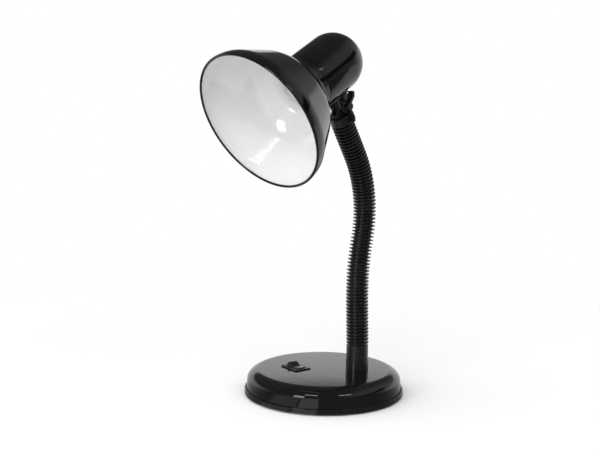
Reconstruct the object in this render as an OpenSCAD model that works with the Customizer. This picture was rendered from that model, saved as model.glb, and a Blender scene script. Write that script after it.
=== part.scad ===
// Desk lamp with a round weighted base, a ribbed bending neck, a tilting bell shade and a domed cap.
// Millimetres. +Z is up, and the origin is the middle of the base's underside.
// Seen from the front, +X is to the right and +Y points away.

/* [Base] */
// Diameter over the tray's lip
base_d = 140; // [134:1:160]
// Height of the base's flat top above the table
base_h = 22.4; // [21.4:0.2:28]
// Thickness of the foam pad
pad_t = 1; // [0.6:0.1:1.6]
// Thickness of the tray's floor
tray_t = 2.2; // [1.6:0.1:2.6]
// Height of the tray's lip above the pad
lip_h = 4.5; // [4:0.1:6]
// How far the lip stands out from the cover
lip_step = 1.5; // [1:0.1:2.5]
// Wall of the base cover
cover_wall = 2; // [1.5:0.1:2.6]
// How far the cover's side leans in between the lip and the shoulder
cover_lean = 0.8; // [0:0.1:2]
// Radius of the cover's shoulder
shoulder_r = 7.5; // [4:0.5:9]
// Thickness of the steel ballast plate
ballast_t = 6; // [3:0.5:6.5]
// Distance of each base screw in from the lip's edge
screw_inset = 16; // [14:0.5:22]
// Radius of a base screw's shank
screw_r = 1.5; // [1.2:0.1:2]
// Bore of the cord inlet's grommet
inlet_d = 6.2; // [5:0.1:7]

/* [Switch] */
// Length of the switch's bezel
bezel_l = 21; // [19.5:0.5:24]
// Width of the switch's bezel
bezel_w = 15; // [13.5:0.5:18]
// Height of the bezel above the base
bezel_t = 2; // [1.5:0.1:3]
// Depth of the switch's body below the base's top
switch_depth = 12.5; // [12:0.1:13.4]
// Tilt of the rocker from level
rocker_tilt = 11; // [6:1:12]
// Turn of the switch in the base's top
switch_turn = -54; // [-90:1:90]

/* [Neck] */
// Distance of the neck's foot from the middle of the base
neck_x = 29.3; // [24:0.1:34]
// Diameter over the neck's ribs
neck_d = 19.7; // [19:0.1:22]
// Pitch of the ribs
rib_pitch = 3.06; // [3:0.02:3.4]
// Depth of the grooves between the ribs
groove_depth = 2.4; // [1.6:0.1:2.5]
// Diameter of the steel core
core_d = 8.4; // [7.6:0.1:8.6]
// Height of the metal socket above the base
socket_h = 9.6; // [7:0.1:14]
// Height of the smooth cuff above the socket
cuff_h = 13.2; // [8:0.1:18]
// Compass direction in which the neck bends, from +Y towards +X
neck_az = 44; // [30:1:60]
// Lean of the neck's straight foot
foot_lean = -2; // [-3:0.5:3]
// Largest lean of the neck away from the shade
back_lean = 13; // [8:0.5:13]
// Lean of the neck's upper end towards the shade
front_lean = 30.5; // [24:0.5:31]

/* [Shade] */
// Diameter of the shade over its rim
shade_d = 123; // [115:1:130]
// Thickness of the shade's sheet
shade_t = 0.8; // [0.6:0.1:1.2]
// Depth of the straight band at the rim
band_h = 7.4; // [6:0.1:9]
// Diameter of the shade's shoulder
bell_shoulder_d = 84; // [78:0.2:90]
// Depth of the shade down to its shoulder
bell_shoulder_s = 42.2; // [38:0.2:46]
// Depth of the shade down to its neck
bell_neck_s = 54; // [50:0.5:57]
// Elevation of the shade's axis
shade_el = 28.4; // [20:0.1:35]

/* [Cap] */
// Outer diameter of the cap
cap_d = 50.6; // [50:0.2:56]
// Thickness of the cap's sheet
cap_t = 0.8; // [0.6:0.1:1]
// Length of the cap's straight part
cap_l = 34.2; // [32:0.2:40]
// Inner radius of the bulb's screw shell
shell_bore_r = 13.5; // [13:0.1:14]

/* [Head hinge] */
// Distance of the hinge's bolt below the head's axis
pivot_drop = 36.5; // [36:0.1:40]
// Radius of the hinge's bolt
bolt_r = 2; // [1.5:0.1:2.2]
// Radius of the knuckle's eye
eye_r = 5.4; // [4.8:0.1:5.4]
// Thickness of the knuckle's tongue
tongue_t = 9.4; // [8:0.1:10]
// Thickness of the bracket's sheet
bracket_t = 1.8; // [1.4:0.1:1.8]
// Radius of the wings' tips
wing_r = 12.4; // [10:0.1:12.6]

/* [Hidden] */
$fn = 96;

// Clearances
seat_gap = 0.15;
fit_gap = 0.05;
free_gap = 0.3;
fuse = 0.5;

// Levels in the base
tray_z = pad_t;
floor_z = tray_z + tray_t;
lip_z = tray_z + lip_h;
cover_top_z = base_h - cover_wall;
ballast_z = floor_z + ballast_t;

// Base outline
lip_r = base_d / 2;
cover_r = lip_r - lip_step;
cover_top_r = cover_r - cover_lean;
lip_round = 0.6;
pad_inset = 4;
ballast_inset = 6.5;
screw_reach = lip_r - screw_inset;

// Base screws and the wells they stand in
screw_turn = 45;
screw_head_r = 2.8;
screw_head_t = 1.8;
well_r = screw_head_r + 2.2;
well_t = 1.8;
well_z = tray_z + screw_head_t + seat_gap + well_t;
boss_r = screw_r + 2;
boss_screw_l = 9;

// Cord inlet in the back of the cover
inlet_z = (floor_z + cover_top_z) / 2;
grommet_r = inlet_d / 2 + 3.2;
grommet_groove_r = inlet_d / 2 + 1.6;
grommet_flange_t = 2;

// Terminal block on the ballast
block_pos = [4, 36];
block_headroom = 1.7;
block_size = [16, 12, cover_top_z - ballast_z - block_headroom];
block_bore_r = 1.6;
block_step = 8;
block_screw_r = 1.4;
wire_r = 0.9;

// Switch
switch_pos = [-24.6, -1];
body_inset = 0.9;
window_l = bezel_l - 3.6;
window_w = bezel_w - 5.2;
switch_floor_t = 2.5;
rocker_pivot_z = -1.5;
rocker_gap = 0.25;
rocker_w = window_w - 2 * free_gap;
rocker_sweep_r = window_l / 2 - rocker_gap;
rocker_rise = 4.9;
rocker_dip = 1.7;
rocker_skirt = 3;
rocker_pin_r = 1.2;
plunger_r = 1;
plunger_l = 6.6;
blade_ratio = -0.3;
blade_ridge_r = 0.7;
blade_z = -switch_depth + switch_floor_t + blade_ridge_r + free_gap;
blade_size = [12, 3, 0.5];
tab_size = [0.8, 4.8];
tab_reach = 5;
tab_foot_gap = 2.1;
tab_drop = base_h - switch_depth - floor_z - tab_foot_gap;
window_gap = 1.5;

// Neck
ribs_per_link = 4;
link_count = 16;
link_l = ribs_per_link * rib_pitch;
crest_r = neck_d / 2;
root_r = crest_r - groove_depth;
rib_base = 0.555 * rib_pitch;
rib_crest = 0.36 * rib_pitch;
core_r = core_d / 2;
core_bore_r = core_r - 1.6;
sleeve_bore_r = core_r + 0.7;
ball_r = root_r - 0.95;
joint_gap = 0.1;
ball_rise = 3.2;
half_gap = (rib_pitch - rib_base) / 2;
socket_z = base_h + socket_h;
cuff_z = socket_z + cuff_h;
chain_z = cuff_z + rib_pitch;
socket_r = crest_r + 0.1;
cuff_r = crest_r - 0.25;
stem_r = 5;
stem_bore_r = 3;
stem_l = 10;
washer_r = 9;
washer_t = 1.2;
nut_r = 8.6;
nut_t = 4.5;
core_seat = 2;

// Where along the neck its lean changes, measured from the first joint
straight_end = 37;
back_lean_at = 91;
front_lean_at = 168;
knuckle_lean = -25;

// Head, along and across the shade's axis from the middle of its rim
rim_r = shade_d / 2;
bead_r = 1.15;
bell_neck_r = cap_d / 2 - cap_t - free_gap;
flange_s = 66;
cap_s = 62.5;
cap_r = cap_d / 2;
cap_bead_r = 0.55;
dome_s = cap_s + cap_l;
holder_r = 20;
holder_hole_r = holder_r + free_gap;
ring_l = 4.6;
ring_r = bell_neck_r - shade_t - 2 * free_gap;
skirt_s = 57;
skirt_bore_r = 17;
skirt_flange_r = 23;
skirt_flange_t = 2;
body_s = flange_s + skirt_flange_t;
body_r = 19;
body_l = 30;
shell_t = 0.5;
shell_l = 22;
shell_s = 66;
shell_floor_t = 0.6;
shell_hole_r = 6;
body_floor_s = shell_s + shell_l + 2;
contact_r = 3;
contact_l = 1.8;
contact_screw_y = 7;
contact_screw_x = 6;
contact_head_r = 2.8;
contact_head_t = 2;

// Hinge and bracket
pivot_s = 89;
// From the top of the knuckle's collar to the hinge's bolt
pivot_rise = [0.5, 7.67];
strap_r = cap_r + seat_gap;
strap_half = 8;
strap_s = 64.5;
strap_end_s = 96.5;
ear_t = 1.6;
ear_r = eye_r + 0.4;
ear_y = tongue_t / 2 + free_gap;
bolt_head_r = 3.9;
bolt_head_t = 2.4;
washer_l = 0.8;
hinge_washer_r = 4.5;
hub_r = 3.8;
hub_l = 4.2;
hub_y = ear_y + ear_t + washer_l + seat_gap;
wing_t = 2.6;
wing_turn = -38;
wing_edge_r = 1;
wing_clear = 3.2;
wing_rise = 7.6;
bracket_screw_s = [72, 80];
bracket_screw_r = 1.5;
bracket_screw_head_r = 2.7;
bracket_screw_head_t = 1.7;
lead_hole_s = pivot_s - 3.6;
lead_y = 1.05;
lead_slot_w = 2 * (lead_y + wire_r) + free_gap;
collar_l = 8;
collar_r = crest_r;
collar_chamfer = 0.8;
tongue_seat = 3;
lead_groove = 2.1;
lead_lean_in = 6;
lead_ease = 1.5;

// Small vector helpers
function unit(v) = v / norm(v);
function leftward(v) = [-v.y, v.x];
function cross_of(a, b) = a.x * b.y - a.y * b.x;
function last(v) = v[len(v) - 1];

// The point where two lines cross, each given as a point and a direction
function meet(p, u, q, v) = p + u * cross_of(q - p, v) / cross_of(u, v);

// An open outline moved sideways to its left by d
function shifted(path, d) = [
  for (i = [0 : len(path) - 1])
    let (
      before = unit(path[max(i, 1)] - path[max(i, 1) - 1]),
      after = unit(path[min(i, len(path) - 2) + 1] - path[min(i, len(path) - 2)]),
      p = path[i] + d * leftward(before),
      q = path[i] + d * leftward(after)
    )
    abs(cross_of(before, after)) < 0.001 ? p : meet(p, before, q, after)
];

// The arc that rounds one corner of an outline
function corner_arc(a, p, b, r, steps = 6) =
  let (
    u = unit(p - a),
    v = unit(b - p),
    side = sign(cross_of(u, v)),
    turn = acos(u * v),
    start = p - u * r * tan(turn / 2),
    centre = start + side * r * leftward(u)
  )
  [for (k = [0 : steps])
    let (angle = side * turn * k / steps, spoke = start - centre)
    centre + [spoke.x * cos(angle) - spoke.y * sin(angle), spoke.x * sin(angle) + spoke.y * cos(angle)]];

// An open outline with its inner corners rounded
function rounded(path, radii) = concat(
  [path[0]],
  [for (i = [1 : len(path) - 2]) each corner_arc(path[i - 1], path[i], path[i + 1], radii[i - 1])],
  [last(path)]
);

// One round of corner cutting, which eases a wire's bends
function eased(path) = concat(
  [path[0]],
  [for (i = [0 : len(path) - 2])
    each [path[i] * 0.75 + path[i + 1] * 0.25, path[i] * 0.25 + path[i + 1] * 0.75]],
  [last(path)]
);

function reversed(v) = [for (i = [len(v) - 1 : -1 : 0]) v[i]];
function flattened(v, along) = unit(v - (v * along) * along);
function run_of(path, i) = unit(path[min(i + 1, len(path) - 1)] - path[max(i - 1, 0)]);

// Side vectors carried along a path without twist
function sides_of(path, seed) = [
  for (
    i = 0, n = flattened(seed, run_of(path, 0));
    i < len(path);
    i = i + 1, n = flattened(n, run_of(path, min(i, len(path) - 1)))
  ) n
];

// A round wire along a path
module wire(path, r = wire_r, sides = 8) {
  across = sides_of(path, [0.2, 1, 0.1]);
  rings = [for (i = [0 : len(path) - 1], k = [0 : sides - 1])
    let (a = 360 * k / sides)
    path[i] + r * (cos(a) * across[i] + sin(a) * cross(run_of(path, i), across[i]))];
  tube_skin(rings, len(path), sides);
}

// Closes a stack of equal rings into a solid
module tube_skin(rings, count, sides) {
  walls = [for (i = [0 : count - 2], k = [0 : sides - 1])
    let (a = i * sides + k, b = i * sides + (k + 1) % sides)
    each [[a, a + sides, b + sides], [a, b + sides, b]]];
  first_cap = [for (k = [1 : sides - 2]) [0, k, k + 1]];
  top = (count - 1) * sides;
  last_cap = [for (k = [1 : sides - 2]) [top, top + k + 1, top + k]];
  polyhedron(points = rings, faces = concat(walls, first_cap, last_cap), convexity = 6);
}

// Neck route in its own upright plane: u runs along the bend's direction, z is up
function lean_at(s) = lookup(s, [
  [0, foot_lean],
  [straight_end, foot_lean],
  [back_lean_at, back_lean],
  [front_lean_at, -front_lean],
  [front_lean_at + 100, -front_lean]
]);
link_leans = [for (i = [0 : link_count - 1]) lean_at(link_l * (i + 0.5))];
function heading(lean) = [sin(lean), cos(lean)];
joints = [
  for (i = 0, p = [0, chain_z]; i <= link_count; p = p + link_l * heading(link_leans[min(i, link_count - 1)]), i = i + 1) p
];
end_lean = (link_leans[link_count - 1] + knuckle_lean) / 2;
collar_at = last(joints) + rib_pitch * heading(end_lean);
collar_top = collar_at + collar_l * heading(knuckle_lean);

// Head's axis in the same plane
axis_uz = [cos(shade_el), sin(shade_el)];
drop_uz = [sin(shade_el), -cos(shade_el)];
function head_uz(s, q) = rim_uz + s * axis_uz + q * drop_uz;
pivot_uz = collar_top + pivot_rise;
rim_uz = pivot_uz - pivot_s * axis_uz - pivot_drop * drop_uz;

// Frames
module neck_plane() {
  translate([neck_x, 0, 0])
    rotate([0, 0, 90 - neck_az])
      children();
}

module at_lean(uz, lean) {
  neck_plane()
    translate([uz.x, 0, uz.y])
      rotate([0, lean, 0])
        children();
}

module head() {
  at_lean(rim_uz, 90 - shade_el) children();
}

module switch_frame() {
  translate([switch_pos.x, switch_pos.y, base_h])
    rotate([0, 0, switch_turn])
      children();
}

module base_corners() {
  for (a = [screw_turn : 90 : screw_turn + 270])
    rotate([0, 0, a])
      translate([screw_reach, 0, 0])
        children();
}

module ring(r_out, r_in, h) {
  difference() {
    cylinder(r = r_out, h = h);
    translate([0, 0, -1]) cylinder(r = r_in, h = h + 2);
  }
}

module rounded_plate(l, w, h, r) {
  linear_extrude(h) {
    square([l - 2 * r, w], center = true);
    square([l, w - 2 * r], center = true);
    for (x = [-1, 1], y = [-1, 1])
      translate([x * (l / 2 - r), y * (w / 2 - r)])
        circle(r);
  }
}

// Base
module anti_slip_pad() {
  color("dimgray")
    cylinder(r = lip_r - pad_inset, h = pad_t);
}

module base_tray() {
  color("black")
    difference() {
      union() {
        rotate_extrude() {
          translate([0, tray_z]) square([lip_r - lip_round, tray_t]);
          translate([cover_r + seat_gap, tray_z + lip_round])
            square([lip_step - seat_gap, lip_h - 2 * lip_round]);
          translate([cover_r + seat_gap, tray_z])
            square([lip_step - seat_gap - lip_round, lip_h]);
          for (z = [tray_z + lip_round, lip_z - lip_round])
            translate([lip_r - lip_round, z])
              circle(lip_round);
        }
        base_corners()
          translate([0, 0, tray_z])
            cylinder(r = well_r, h = well_z - tray_z);
      }
      base_corners() {
        translate([0, 0, tray_z - 1]) cylinder(r = screw_head_r + free_gap, h = 1 + screw_head_t + seat_gap);
        cylinder(r = screw_r + free_gap, h = well_z + 1);
      }
    }
}

module base_screws() {
  color("silver")
    base_corners() {
      translate([0, 0, tray_z + seat_gap])
        difference() {
          cylinder(r = screw_head_r, h = screw_head_t);
          for (a = [0, 90])
            rotate([0, 0, a])
              translate([0, 0, 0.3])
                cube([3, 0.7, 1.2], center = true);
        }
      translate([0, 0, tray_z + seat_gap + screw_head_t / 2])
        cylinder(r = screw_r, h = well_z + boss_screw_l - tray_z - seat_gap - screw_head_t / 2);
    }
}

module ballast() {
  color("slategray")
    translate([0, 0, floor_z])
      difference() {
        cylinder(r = lip_r - lip_step - ballast_inset, h = ballast_t);
        base_corners()
          translate([0, 0, -1])
            cylinder(r = well_r + free_gap, h = ballast_t + 2);
        translate([switch_pos.x, switch_pos.y, -1])
          rotate([0, 0, switch_turn])
            rounded_plate(bezel_l + 2 * window_gap, bezel_w + 2 * window_gap, ballast_t + 2, 2);
      }
}

module cover_outline(inset, from_z) {
  r_low = cover_r - inset;
  r_top = cover_top_r - inset;
  h = base_h - inset;
  round_r = max(shoulder_r - inset, 0.5);
  polygon([
    [0, from_z],
    [r_low, from_z],
    [r_top, h - round_r],
    [r_top - round_r, h],
    [0, h]
  ]);
  translate([r_top - round_r, h - round_r]) circle(round_r);
}

module base_cover() {
  color("black")
    difference() {
      union() {
        difference() {
          rotate_extrude() cover_outline(0, floor_z);
          rotate_extrude() cover_outline(cover_wall, floor_z - 1);
        }
        base_corners()
          translate([0, 0, well_z])
            cylinder(r = boss_r, h = cover_top_z - well_z + fuse);
      }
      base_corners()
        translate([0, 0, well_z - 1])
          cylinder(r = screw_r + fit_gap, h = boss_screw_l + 2);
      translate([neck_x, 0, cover_top_z - 1])
        cylinder(r = stem_r + free_gap, h = cover_wall + 2);
      switch_frame()
        translate([0, 0, -cover_wall - 1])
          rounded_plate(bezel_l - 2 * body_inset + 2 * free_gap, bezel_w - 2 * body_inset + 2 * free_gap, cover_wall + 2, 0.8);
      translate([0, cover_r + 5, inlet_z])
        rotate([90, 0, 0])
          cylinder(r = grommet_groove_r + fit_gap, h = 20);
    }
}

// Rubber grommet across the cover's back wall
module cord_grommet() {
  out_y = cover_r;
  in_y = cover_top_r - cover_wall - 1;
  color("dimgray")
    translate([0, 0, inlet_z])
      rotate([-90, 0, 0])
        difference() {
          union() {
            translate([0, 0, out_y]) cylinder(r = grommet_r, h = grommet_flange_t);
            translate([0, 0, in_y - grommet_flange_t]) cylinder(r = grommet_r, h = grommet_flange_t);
            translate([0, 0, in_y - 1]) cylinder(r = grommet_groove_r, h = out_y - in_y + 2);
          }
          translate([0, 0, in_y - grommet_flange_t - 1])
            cylinder(r = inlet_d / 2, h = out_y - in_y + 2 * grommet_flange_t + 2);
        }
}

module terminal_block() {
  color("ivory")
    translate([block_pos.x, block_pos.y, ballast_z])
      difference() {
        translate([-block_size.x / 2, -block_size.y / 2, 0]) cube(block_size);
        for (x = [-1, 1])
          translate([x * block_step / 2, 0, block_size.z / 2 - 1]) {
            rotate([90, 0, 0])
              cylinder(r = block_bore_r, h = block_size.y + 2, center = true);
            for (y = [-1, 1])
              translate([0, y * block_size.y / 4, 0])
                cylinder(r = block_screw_r + fit_gap, h = block_size.z);
          }
      }
}

module terminal_screws() {
  color("goldenrod")
    for (x = [-1, 1], y = [-1, 1])
      translate([block_pos.x + x * block_step / 2, block_pos.y + y * block_size.y / 4, ballast_z + block_size.z / 2 + 0.2])
        cylinder(r = block_screw_r, h = block_size.z / 2 - 1);
}

// Wires in the base: two to the switch, two to the neck
module base_leads() {
  run_z = ballast_z + wire_r + seat_gap;
  bore_z = ballast_z + block_size.z / 2 - 1;
  tab_low = base_h - switch_depth - tab_drop + wire_r;
  under_z = base_h - switch_depth - wire_r - 0.8;
  body_side = bezel_w / 2 - body_inset + wire_r + free_gap;
  tab_side = tab_size.y / 2 + wire_r + 0.1;
  along = [cos(switch_turn), sin(switch_turn)];
  across = [-sin(switch_turn), cos(switch_turn)];
  color("firebrick")
    for (side = [-1, 1]) {
      x = block_pos.x + side * block_step / 2;
      start = [x, block_pos.y - block_size.y / 4, bore_z];
      tab = switch_pos + tab_reach * side * along;
      far = tab + (body_side + 6) * across;
      beside = tab + body_side * across;
      near = tab + tab_side * across;
      wire(eased(eased([
        start,
        [x, block_pos.y - block_size.y / 2 - 4, bore_z],
        [x - 8, block_pos.y - 16, run_z],
        [far.x, far.y, run_z],
        [beside.x, beside.y, run_z + 1.6],
        [beside.x, beside.y, under_z],
        [near.x, near.y, under_z],
        [near.x, near.y, tab_low]
      ])));
      far_start = [x, block_pos.y + block_size.y / 4, bore_z];
      foot = [neck_x - side * lead_y * cos(neck_az), side * lead_y * sin(neck_az)];
      wire(eased(eased([
        far_start,
        [x, block_pos.y + 10 - 2 * side, bore_z],
        [block_pos.x + 12, block_pos.y + 10 - 3 * side, run_z],
        [block_pos.x + 26 - 3 * side, block_pos.y - 6, run_z],
        [foot.x + 5 - 0.6 * side, foot.y + 5 + 0.6 * side, run_z],
        [foot.x, foot.y, run_z + 0.4],
        [foot.x, foot.y, lead_foot_z - free_gap]
      ])));
    }
}

// Switch
module switch_housing() {
  body_l = bezel_l - 2 * body_inset;
  body_w = bezel_w - 2 * body_inset;
  color("black")
    switch_frame()
      difference() {
        union() {
          rounded_plate(bezel_l, bezel_w, bezel_t, 1);
          translate([0, 0, -switch_depth]) rounded_plate(body_l, body_w, switch_depth + fuse, 0.5);
        }
        translate([0, 0, -switch_depth + switch_floor_t])
          linear_extrude(switch_depth + bezel_t)
            square([window_l, window_w], center = true);
        translate([0, 0, rocker_pivot_z])
          rotate([90, 0, 0])
            cylinder(r = rocker_pin_r + fit_gap, h = window_w + 2, center = true);
        for (x = [-1, 1])
          translate([x * tab_reach, 0, -switch_depth])
            cube([tab_size.x + 2 * fit_gap, tab_size.y + 2 * fit_gap, 4 * switch_floor_t], center = true);
      }
  color("black")
    switch_frame()
      translate([0, 0, -switch_depth + switch_floor_t])
        rotate([90, 0, 0])
          cylinder(r = blade_ridge_r, h = window_w - 1, center = true);
}

module switch_terminals() {
  color("goldenrod")
    switch_frame()
      for (x = [-1, 1])
        translate([x * tab_reach - tab_size.x / 2, -tab_size.y / 2, -switch_depth - tab_drop])
          cube([tab_size.x, tab_size.y, tab_drop + switch_floor_t + 0.1]);
}

module switch_rocker() {
  color("black")
    switch_frame()
      translate([0, 0, rocker_pivot_z])
        rotate([0, rocker_tilt, 0])
          rotate([90, 0, 0]) {
            linear_extrude(rocker_w, center = true) {
              intersection() {
                circle(rocker_sweep_r);
                polygon([
                  [-window_l, rocker_rise + 2],
                  [-window_l, -rocker_skirt],
                  [window_l, -rocker_skirt],
                  [window_l, rocker_rise + 2],
                  [window_l / 2 - 1.8, rocker_rise],
                  [0, rocker_rise - rocker_dip],
                  [-window_l / 2 + 1.8, rocker_rise]
                ]);
              }
            }
            cylinder(r = rocker_pin_r, h = window_w + 1.6, center = true);
            linear_extrude(2 * plunger_r, center = true) {
              translate([-plunger_r, -plunger_l + plunger_r])
                square([2 * plunger_r, plunger_l - rocker_skirt]);
              translate([0, -plunger_l + plunger_r]) circle(plunger_r);
            }
          }
}

module switch_blade() {
  color("goldenrod")
    switch_frame()
      translate([0, 0, blade_z])
        rotate([0, blade_ratio * rocker_tilt, 0])
          translate([-blade_size.x / 2, -blade_size.y / 2, 0])
            cube(blade_size);
}

// Neck
module neck_socket() {
  color("black")
    translate([neck_x, 0, 0])
      difference() {
        union() {
          translate([0, 0, base_h]) cylinder(r = socket_r, h = socket_h);
          translate([0, 0, base_h - stem_l]) cylinder(r = stem_r, h = stem_l + fuse);
        }
        translate([0, 0, base_h - stem_l - 1]) cylinder(r = stem_bore_r, h = stem_l + socket_h + 2);
        translate([0, 0, base_h + core_seat]) cylinder(r = core_r + fit_gap, h = socket_h);
      }
}

module neck_washer() {
  color("silver")
    translate([neck_x, 0, cover_top_z - washer_t])
      ring(washer_r, stem_r + 0.2, washer_t);
}

module neck_nut() {
  color("silver")
    translate([neck_x, 0, cover_top_z - washer_t - nut_t])
      difference() {
        cylinder(r = nut_r, h = nut_t, $fn = 6);
        translate([0, 0, -1]) cylinder(r = stem_r + fit_gap, h = nut_t + 2);
      }
}

// Outline of ribs along a sleeve, from z = 0 upwards
function rib_outline(count) = [
  for (k = [0 : count - 1])
    let (c = (k + 0.5) * rib_pitch)
    each [
      [root_r, c - rib_base / 2],
      [crest_r, c - rib_crest / 2],
      [crest_r, c + rib_crest / 2],
      [root_r, c + rib_base / 2]
    ]
];

// A length of ribbed sleeve with a socket below and a ball above
module sleeve(count, has_socket = true, has_ball = true) {
  l = count * rib_pitch;
  rotate_extrude() {
    difference() {
      polygon(concat(
        [[sleeve_bore_r, has_socket ? half_gap : 0]],
        has_socket ? [] : [[root_r, 0]],
        rib_outline(count),
        has_ball ? [] : [[root_r, l]],
        [[sleeve_bore_r, has_ball ? l - half_gap : l]]
      ));
      if (has_socket) circle(ball_r + joint_gap);
    }
    if (has_ball)
      intersection() {
        translate([0, l]) circle(ball_r);
        translate([sleeve_bore_r, l - half_gap - fuse / 2])
          square([ball_r, ball_rise + half_gap + fuse / 2]);
      }
  }
}

module neck_cuff() {
  color("black")
    translate([neck_x, 0, 0]) {
      translate([0, 0, cuff_z]) sleeve(1, has_socket = false);
      translate([0, 0, socket_z]) ring(cuff_r, sleeve_bore_r, cuff_h - half_gap);
      translate([0, 0, cuff_z - half_gap - fuse]) ring(root_r, sleeve_bore_r, half_gap + 2 * fuse);
    }
}

module neck_link(i) {
  color(i % 2 == 0 ? "black" : "darkslategray")
    at_lean(joints[i], link_leans[i]) sleeve(ribs_per_link);
}

module neck_end() {
  color("black")
    at_lean(last(joints), end_lean) sleeve(1, has_ball = false);
}

// A tube along the neck, in its plane, shifted across by y
module neck_tube(points, leans, r_out, r_in, y, sides) {
  function loop_of(i, r) = [
    for (k = [0 : sides - 1])
      let (
        a = 360 * k / sides,
        bend = (leans[min(i + 1, len(leans) - 1)] - leans[i]) / 2,
        lean = leans[i] + bend,
        across = r * cos(a) / cos(bend)
      )
      [points[i].x + across * cos(lean), y + r * sin(a), points[i].y - across * sin(lean)]
  ];
  neck_plane()
    difference() {
      tube_skin([for (i = [0 : len(points) - 1]) each loop_of(i, r_out)], len(points), sides);
      if (r_in > 0)
        tube_skin([for (i = [0 : len(points) - 1]) each loop_of(i, r_in)], len(points), sides);
    }
}

core_foot_z = base_h + core_seat + 0.1;
lead_foot_z = base_h - stem_l + 1;
core_top = collar_at + (collar_l - 1) * heading(knuckle_lean);
route_points = concat([[0, core_foot_z]], joints, [collar_at, core_top]);
route_leans = concat([0], [0], link_leans, [end_lean, knuckle_lean]);

module neck_core() {
  color("silver")
    neck_tube(route_points, route_leans, core_r, core_bore_r, 0, 12);
}

module neck_lead() {
  points = concat([[0, lead_foot_z]], joints);
  leans = concat([0], [0], link_leans);
  color("firebrick")
    for (side = [-1, 1])
      neck_tube(points, leans, wire_r, 0, side * lead_y, 8);
}

// Knuckle: a collar on the neck's end, and a tongue with the hinge's eye
module knuckle() {
  eye_front = pivot_uz.x - eye_r;
  tongue_z = collar_top.y - tongue_seat;
  color("black")
    difference() {
      union() {
        at_lean(collar_at - heading(knuckle_lean), knuckle_lean)
          rotate_extrude()
            polygon([
              [0, 0],
              [collar_r, 0],
              [collar_r, 1 + collar_l - collar_chamfer],
              [collar_r - collar_chamfer, 1 + collar_l],
              [0, 1 + collar_l]
            ]);
        neck_plane()
          translate([pivot_uz.x, 0, pivot_uz.y])
            rotate([90, 0, 0]) {
              cylinder(r = eye_r, h = tongue_t, center = true);
              translate([-eye_r, tongue_z - pivot_uz.y, -tongue_t / 2])
                cube([2 * eye_r, pivot_uz.y - tongue_z, tongue_t]);
            }
      }
      at_lean(last(joints), end_lean) {
        translate([0, 0, -2]) cylinder(r = collar_r + 3, h = 2 + rib_pitch + fit_gap);
        sphere(ball_r + joint_gap);
      }
      at_lean(collar_at - heading(knuckle_lean), knuckle_lean)
        cylinder(r = core_r + fit_gap, h = collar_l + 0.5);
      at_lean(collar_top - heading(knuckle_lean), knuckle_lean)
        translate([-lead_lean_in, -lead_slot_w / 2, -0.6])
          cube([lead_lean_in + 1, lead_slot_w, 3.2]);
      neck_plane() {
        translate([pivot_uz.x, 0, pivot_uz.y])
          rotate([90, 0, 0])
            cylinder(r = bolt_r + fit_gap, h = tongue_t + 2, center = true);
        translate([eye_front - 1, -lead_slot_w / 2, tongue_z])
          cube([1 + lead_groove, lead_slot_w, 30]);
        translate([eye_front - 1, -lead_slot_w / 2, tongue_z])
          cube([1 + lead_groove + lead_ease, lead_slot_w, tongue_seat + 2.6]);
      }
    }
}

// The two wires from the neck's end, up the groove in the tongue, to the cap
module knuckle_lead() {
  groove_u = pivot_uz.x - eye_r + lead_groove / 2;
  exit_uz = head_uz(lead_hole_s, cap_r + bracket_t + free_gap);
  path = eased(eased([
    last(joints) + 0.4 * heading(end_lean),
    collar_top - 1.6 * heading(knuckle_lean),
    [groove_u, collar_top.y - 0.2],
    [groove_u, pivot_uz.y + 0.5],
    exit_uz
  ]));
  color("dimgray")
    neck_plane()
      for (side = [-1, 1])
        wire([for (p = path) [p.x, side * lead_y, p.y]]);
}

// Head bracket, folded from sheet
module head_bracket() {
  color("black")
    head()
      difference() {
        union() {
          intersection() {
            translate([0, 0, strap_s]) ring(strap_r + bracket_t, strap_r, strap_end_s - strap_s);
            translate([strap_r - 4, 0, (strap_s + strap_end_s) / 2])
              rotate([0, 90, 0])
                rounded_plate(strap_end_s - strap_s, 2 * strap_half, 8, 2);
          }
          for (side = [-1, 1])
            translate([0, side * (ear_y + ear_t / 2), 0])
              rotate([90, 0, 0])
                linear_extrude(ear_t, center = true) {
                  translate([pivot_drop, pivot_s]) circle(ear_r);
                  translate([strap_r + 0.3, pivot_s - ear_r])
                    square([pivot_drop - strap_r - 0.3, 2 * ear_r]);
                }
        }
        translate([pivot_drop, 0, pivot_s])
          rotate([90, 0, 0])
            cylinder(r = bolt_r + 0.15, h = 40, center = true);
        for (s = bracket_screw_s)
          translate([strap_r - 2, 0, s])
            rotate([0, 90, 0])
              cylinder(r = bracket_screw_r + 0.15, h = bracket_t + 4);
        lead_opening();
      }
}

// Slot for the two wires, through strap and cap
module lead_opening() {
  translate([cap_r - 3, 0, lead_hole_s])
    rotate([0, 90, 0])
      rounded_plate(lead_slot_w - 1, lead_slot_w + 0.4, bracket_t + 6, 1.2);
}

module bracket_screws() {
  tip = body_r - 1.5;
  under_head = strap_r + bracket_t;
  color("silver")
    head()
      for (s = bracket_screw_s)
        translate([0, 0, s])
          rotate([0, 90, 0]) {
            translate([0, 0, tip]) cylinder(r = bracket_screw_r, h = under_head - tip + 0.5);
            translate([0, 0, under_head]) cylinder(r = bracket_screw_head_r, h = bracket_screw_head_t);
          }
}

// Bolt, washer and wing nut lie along the hinge's axis
module hinge_axis() {
  head()
    translate([pivot_drop, 0, pivot_s])
      rotate([90, 0, 0])
        children();
}

module hinge_bolt() {
  grip = ear_y + ear_t;
  color("silver")
    hinge_axis() {
      translate([0, 0, -grip - bolt_head_t]) cylinder(r = bolt_head_r, h = bolt_head_t);
      translate([0, 0, -grip - fuse]) cylinder(r = bolt_r, h = 2 * grip + fuse + washer_l + hub_l - 1);
    }
}

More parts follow.
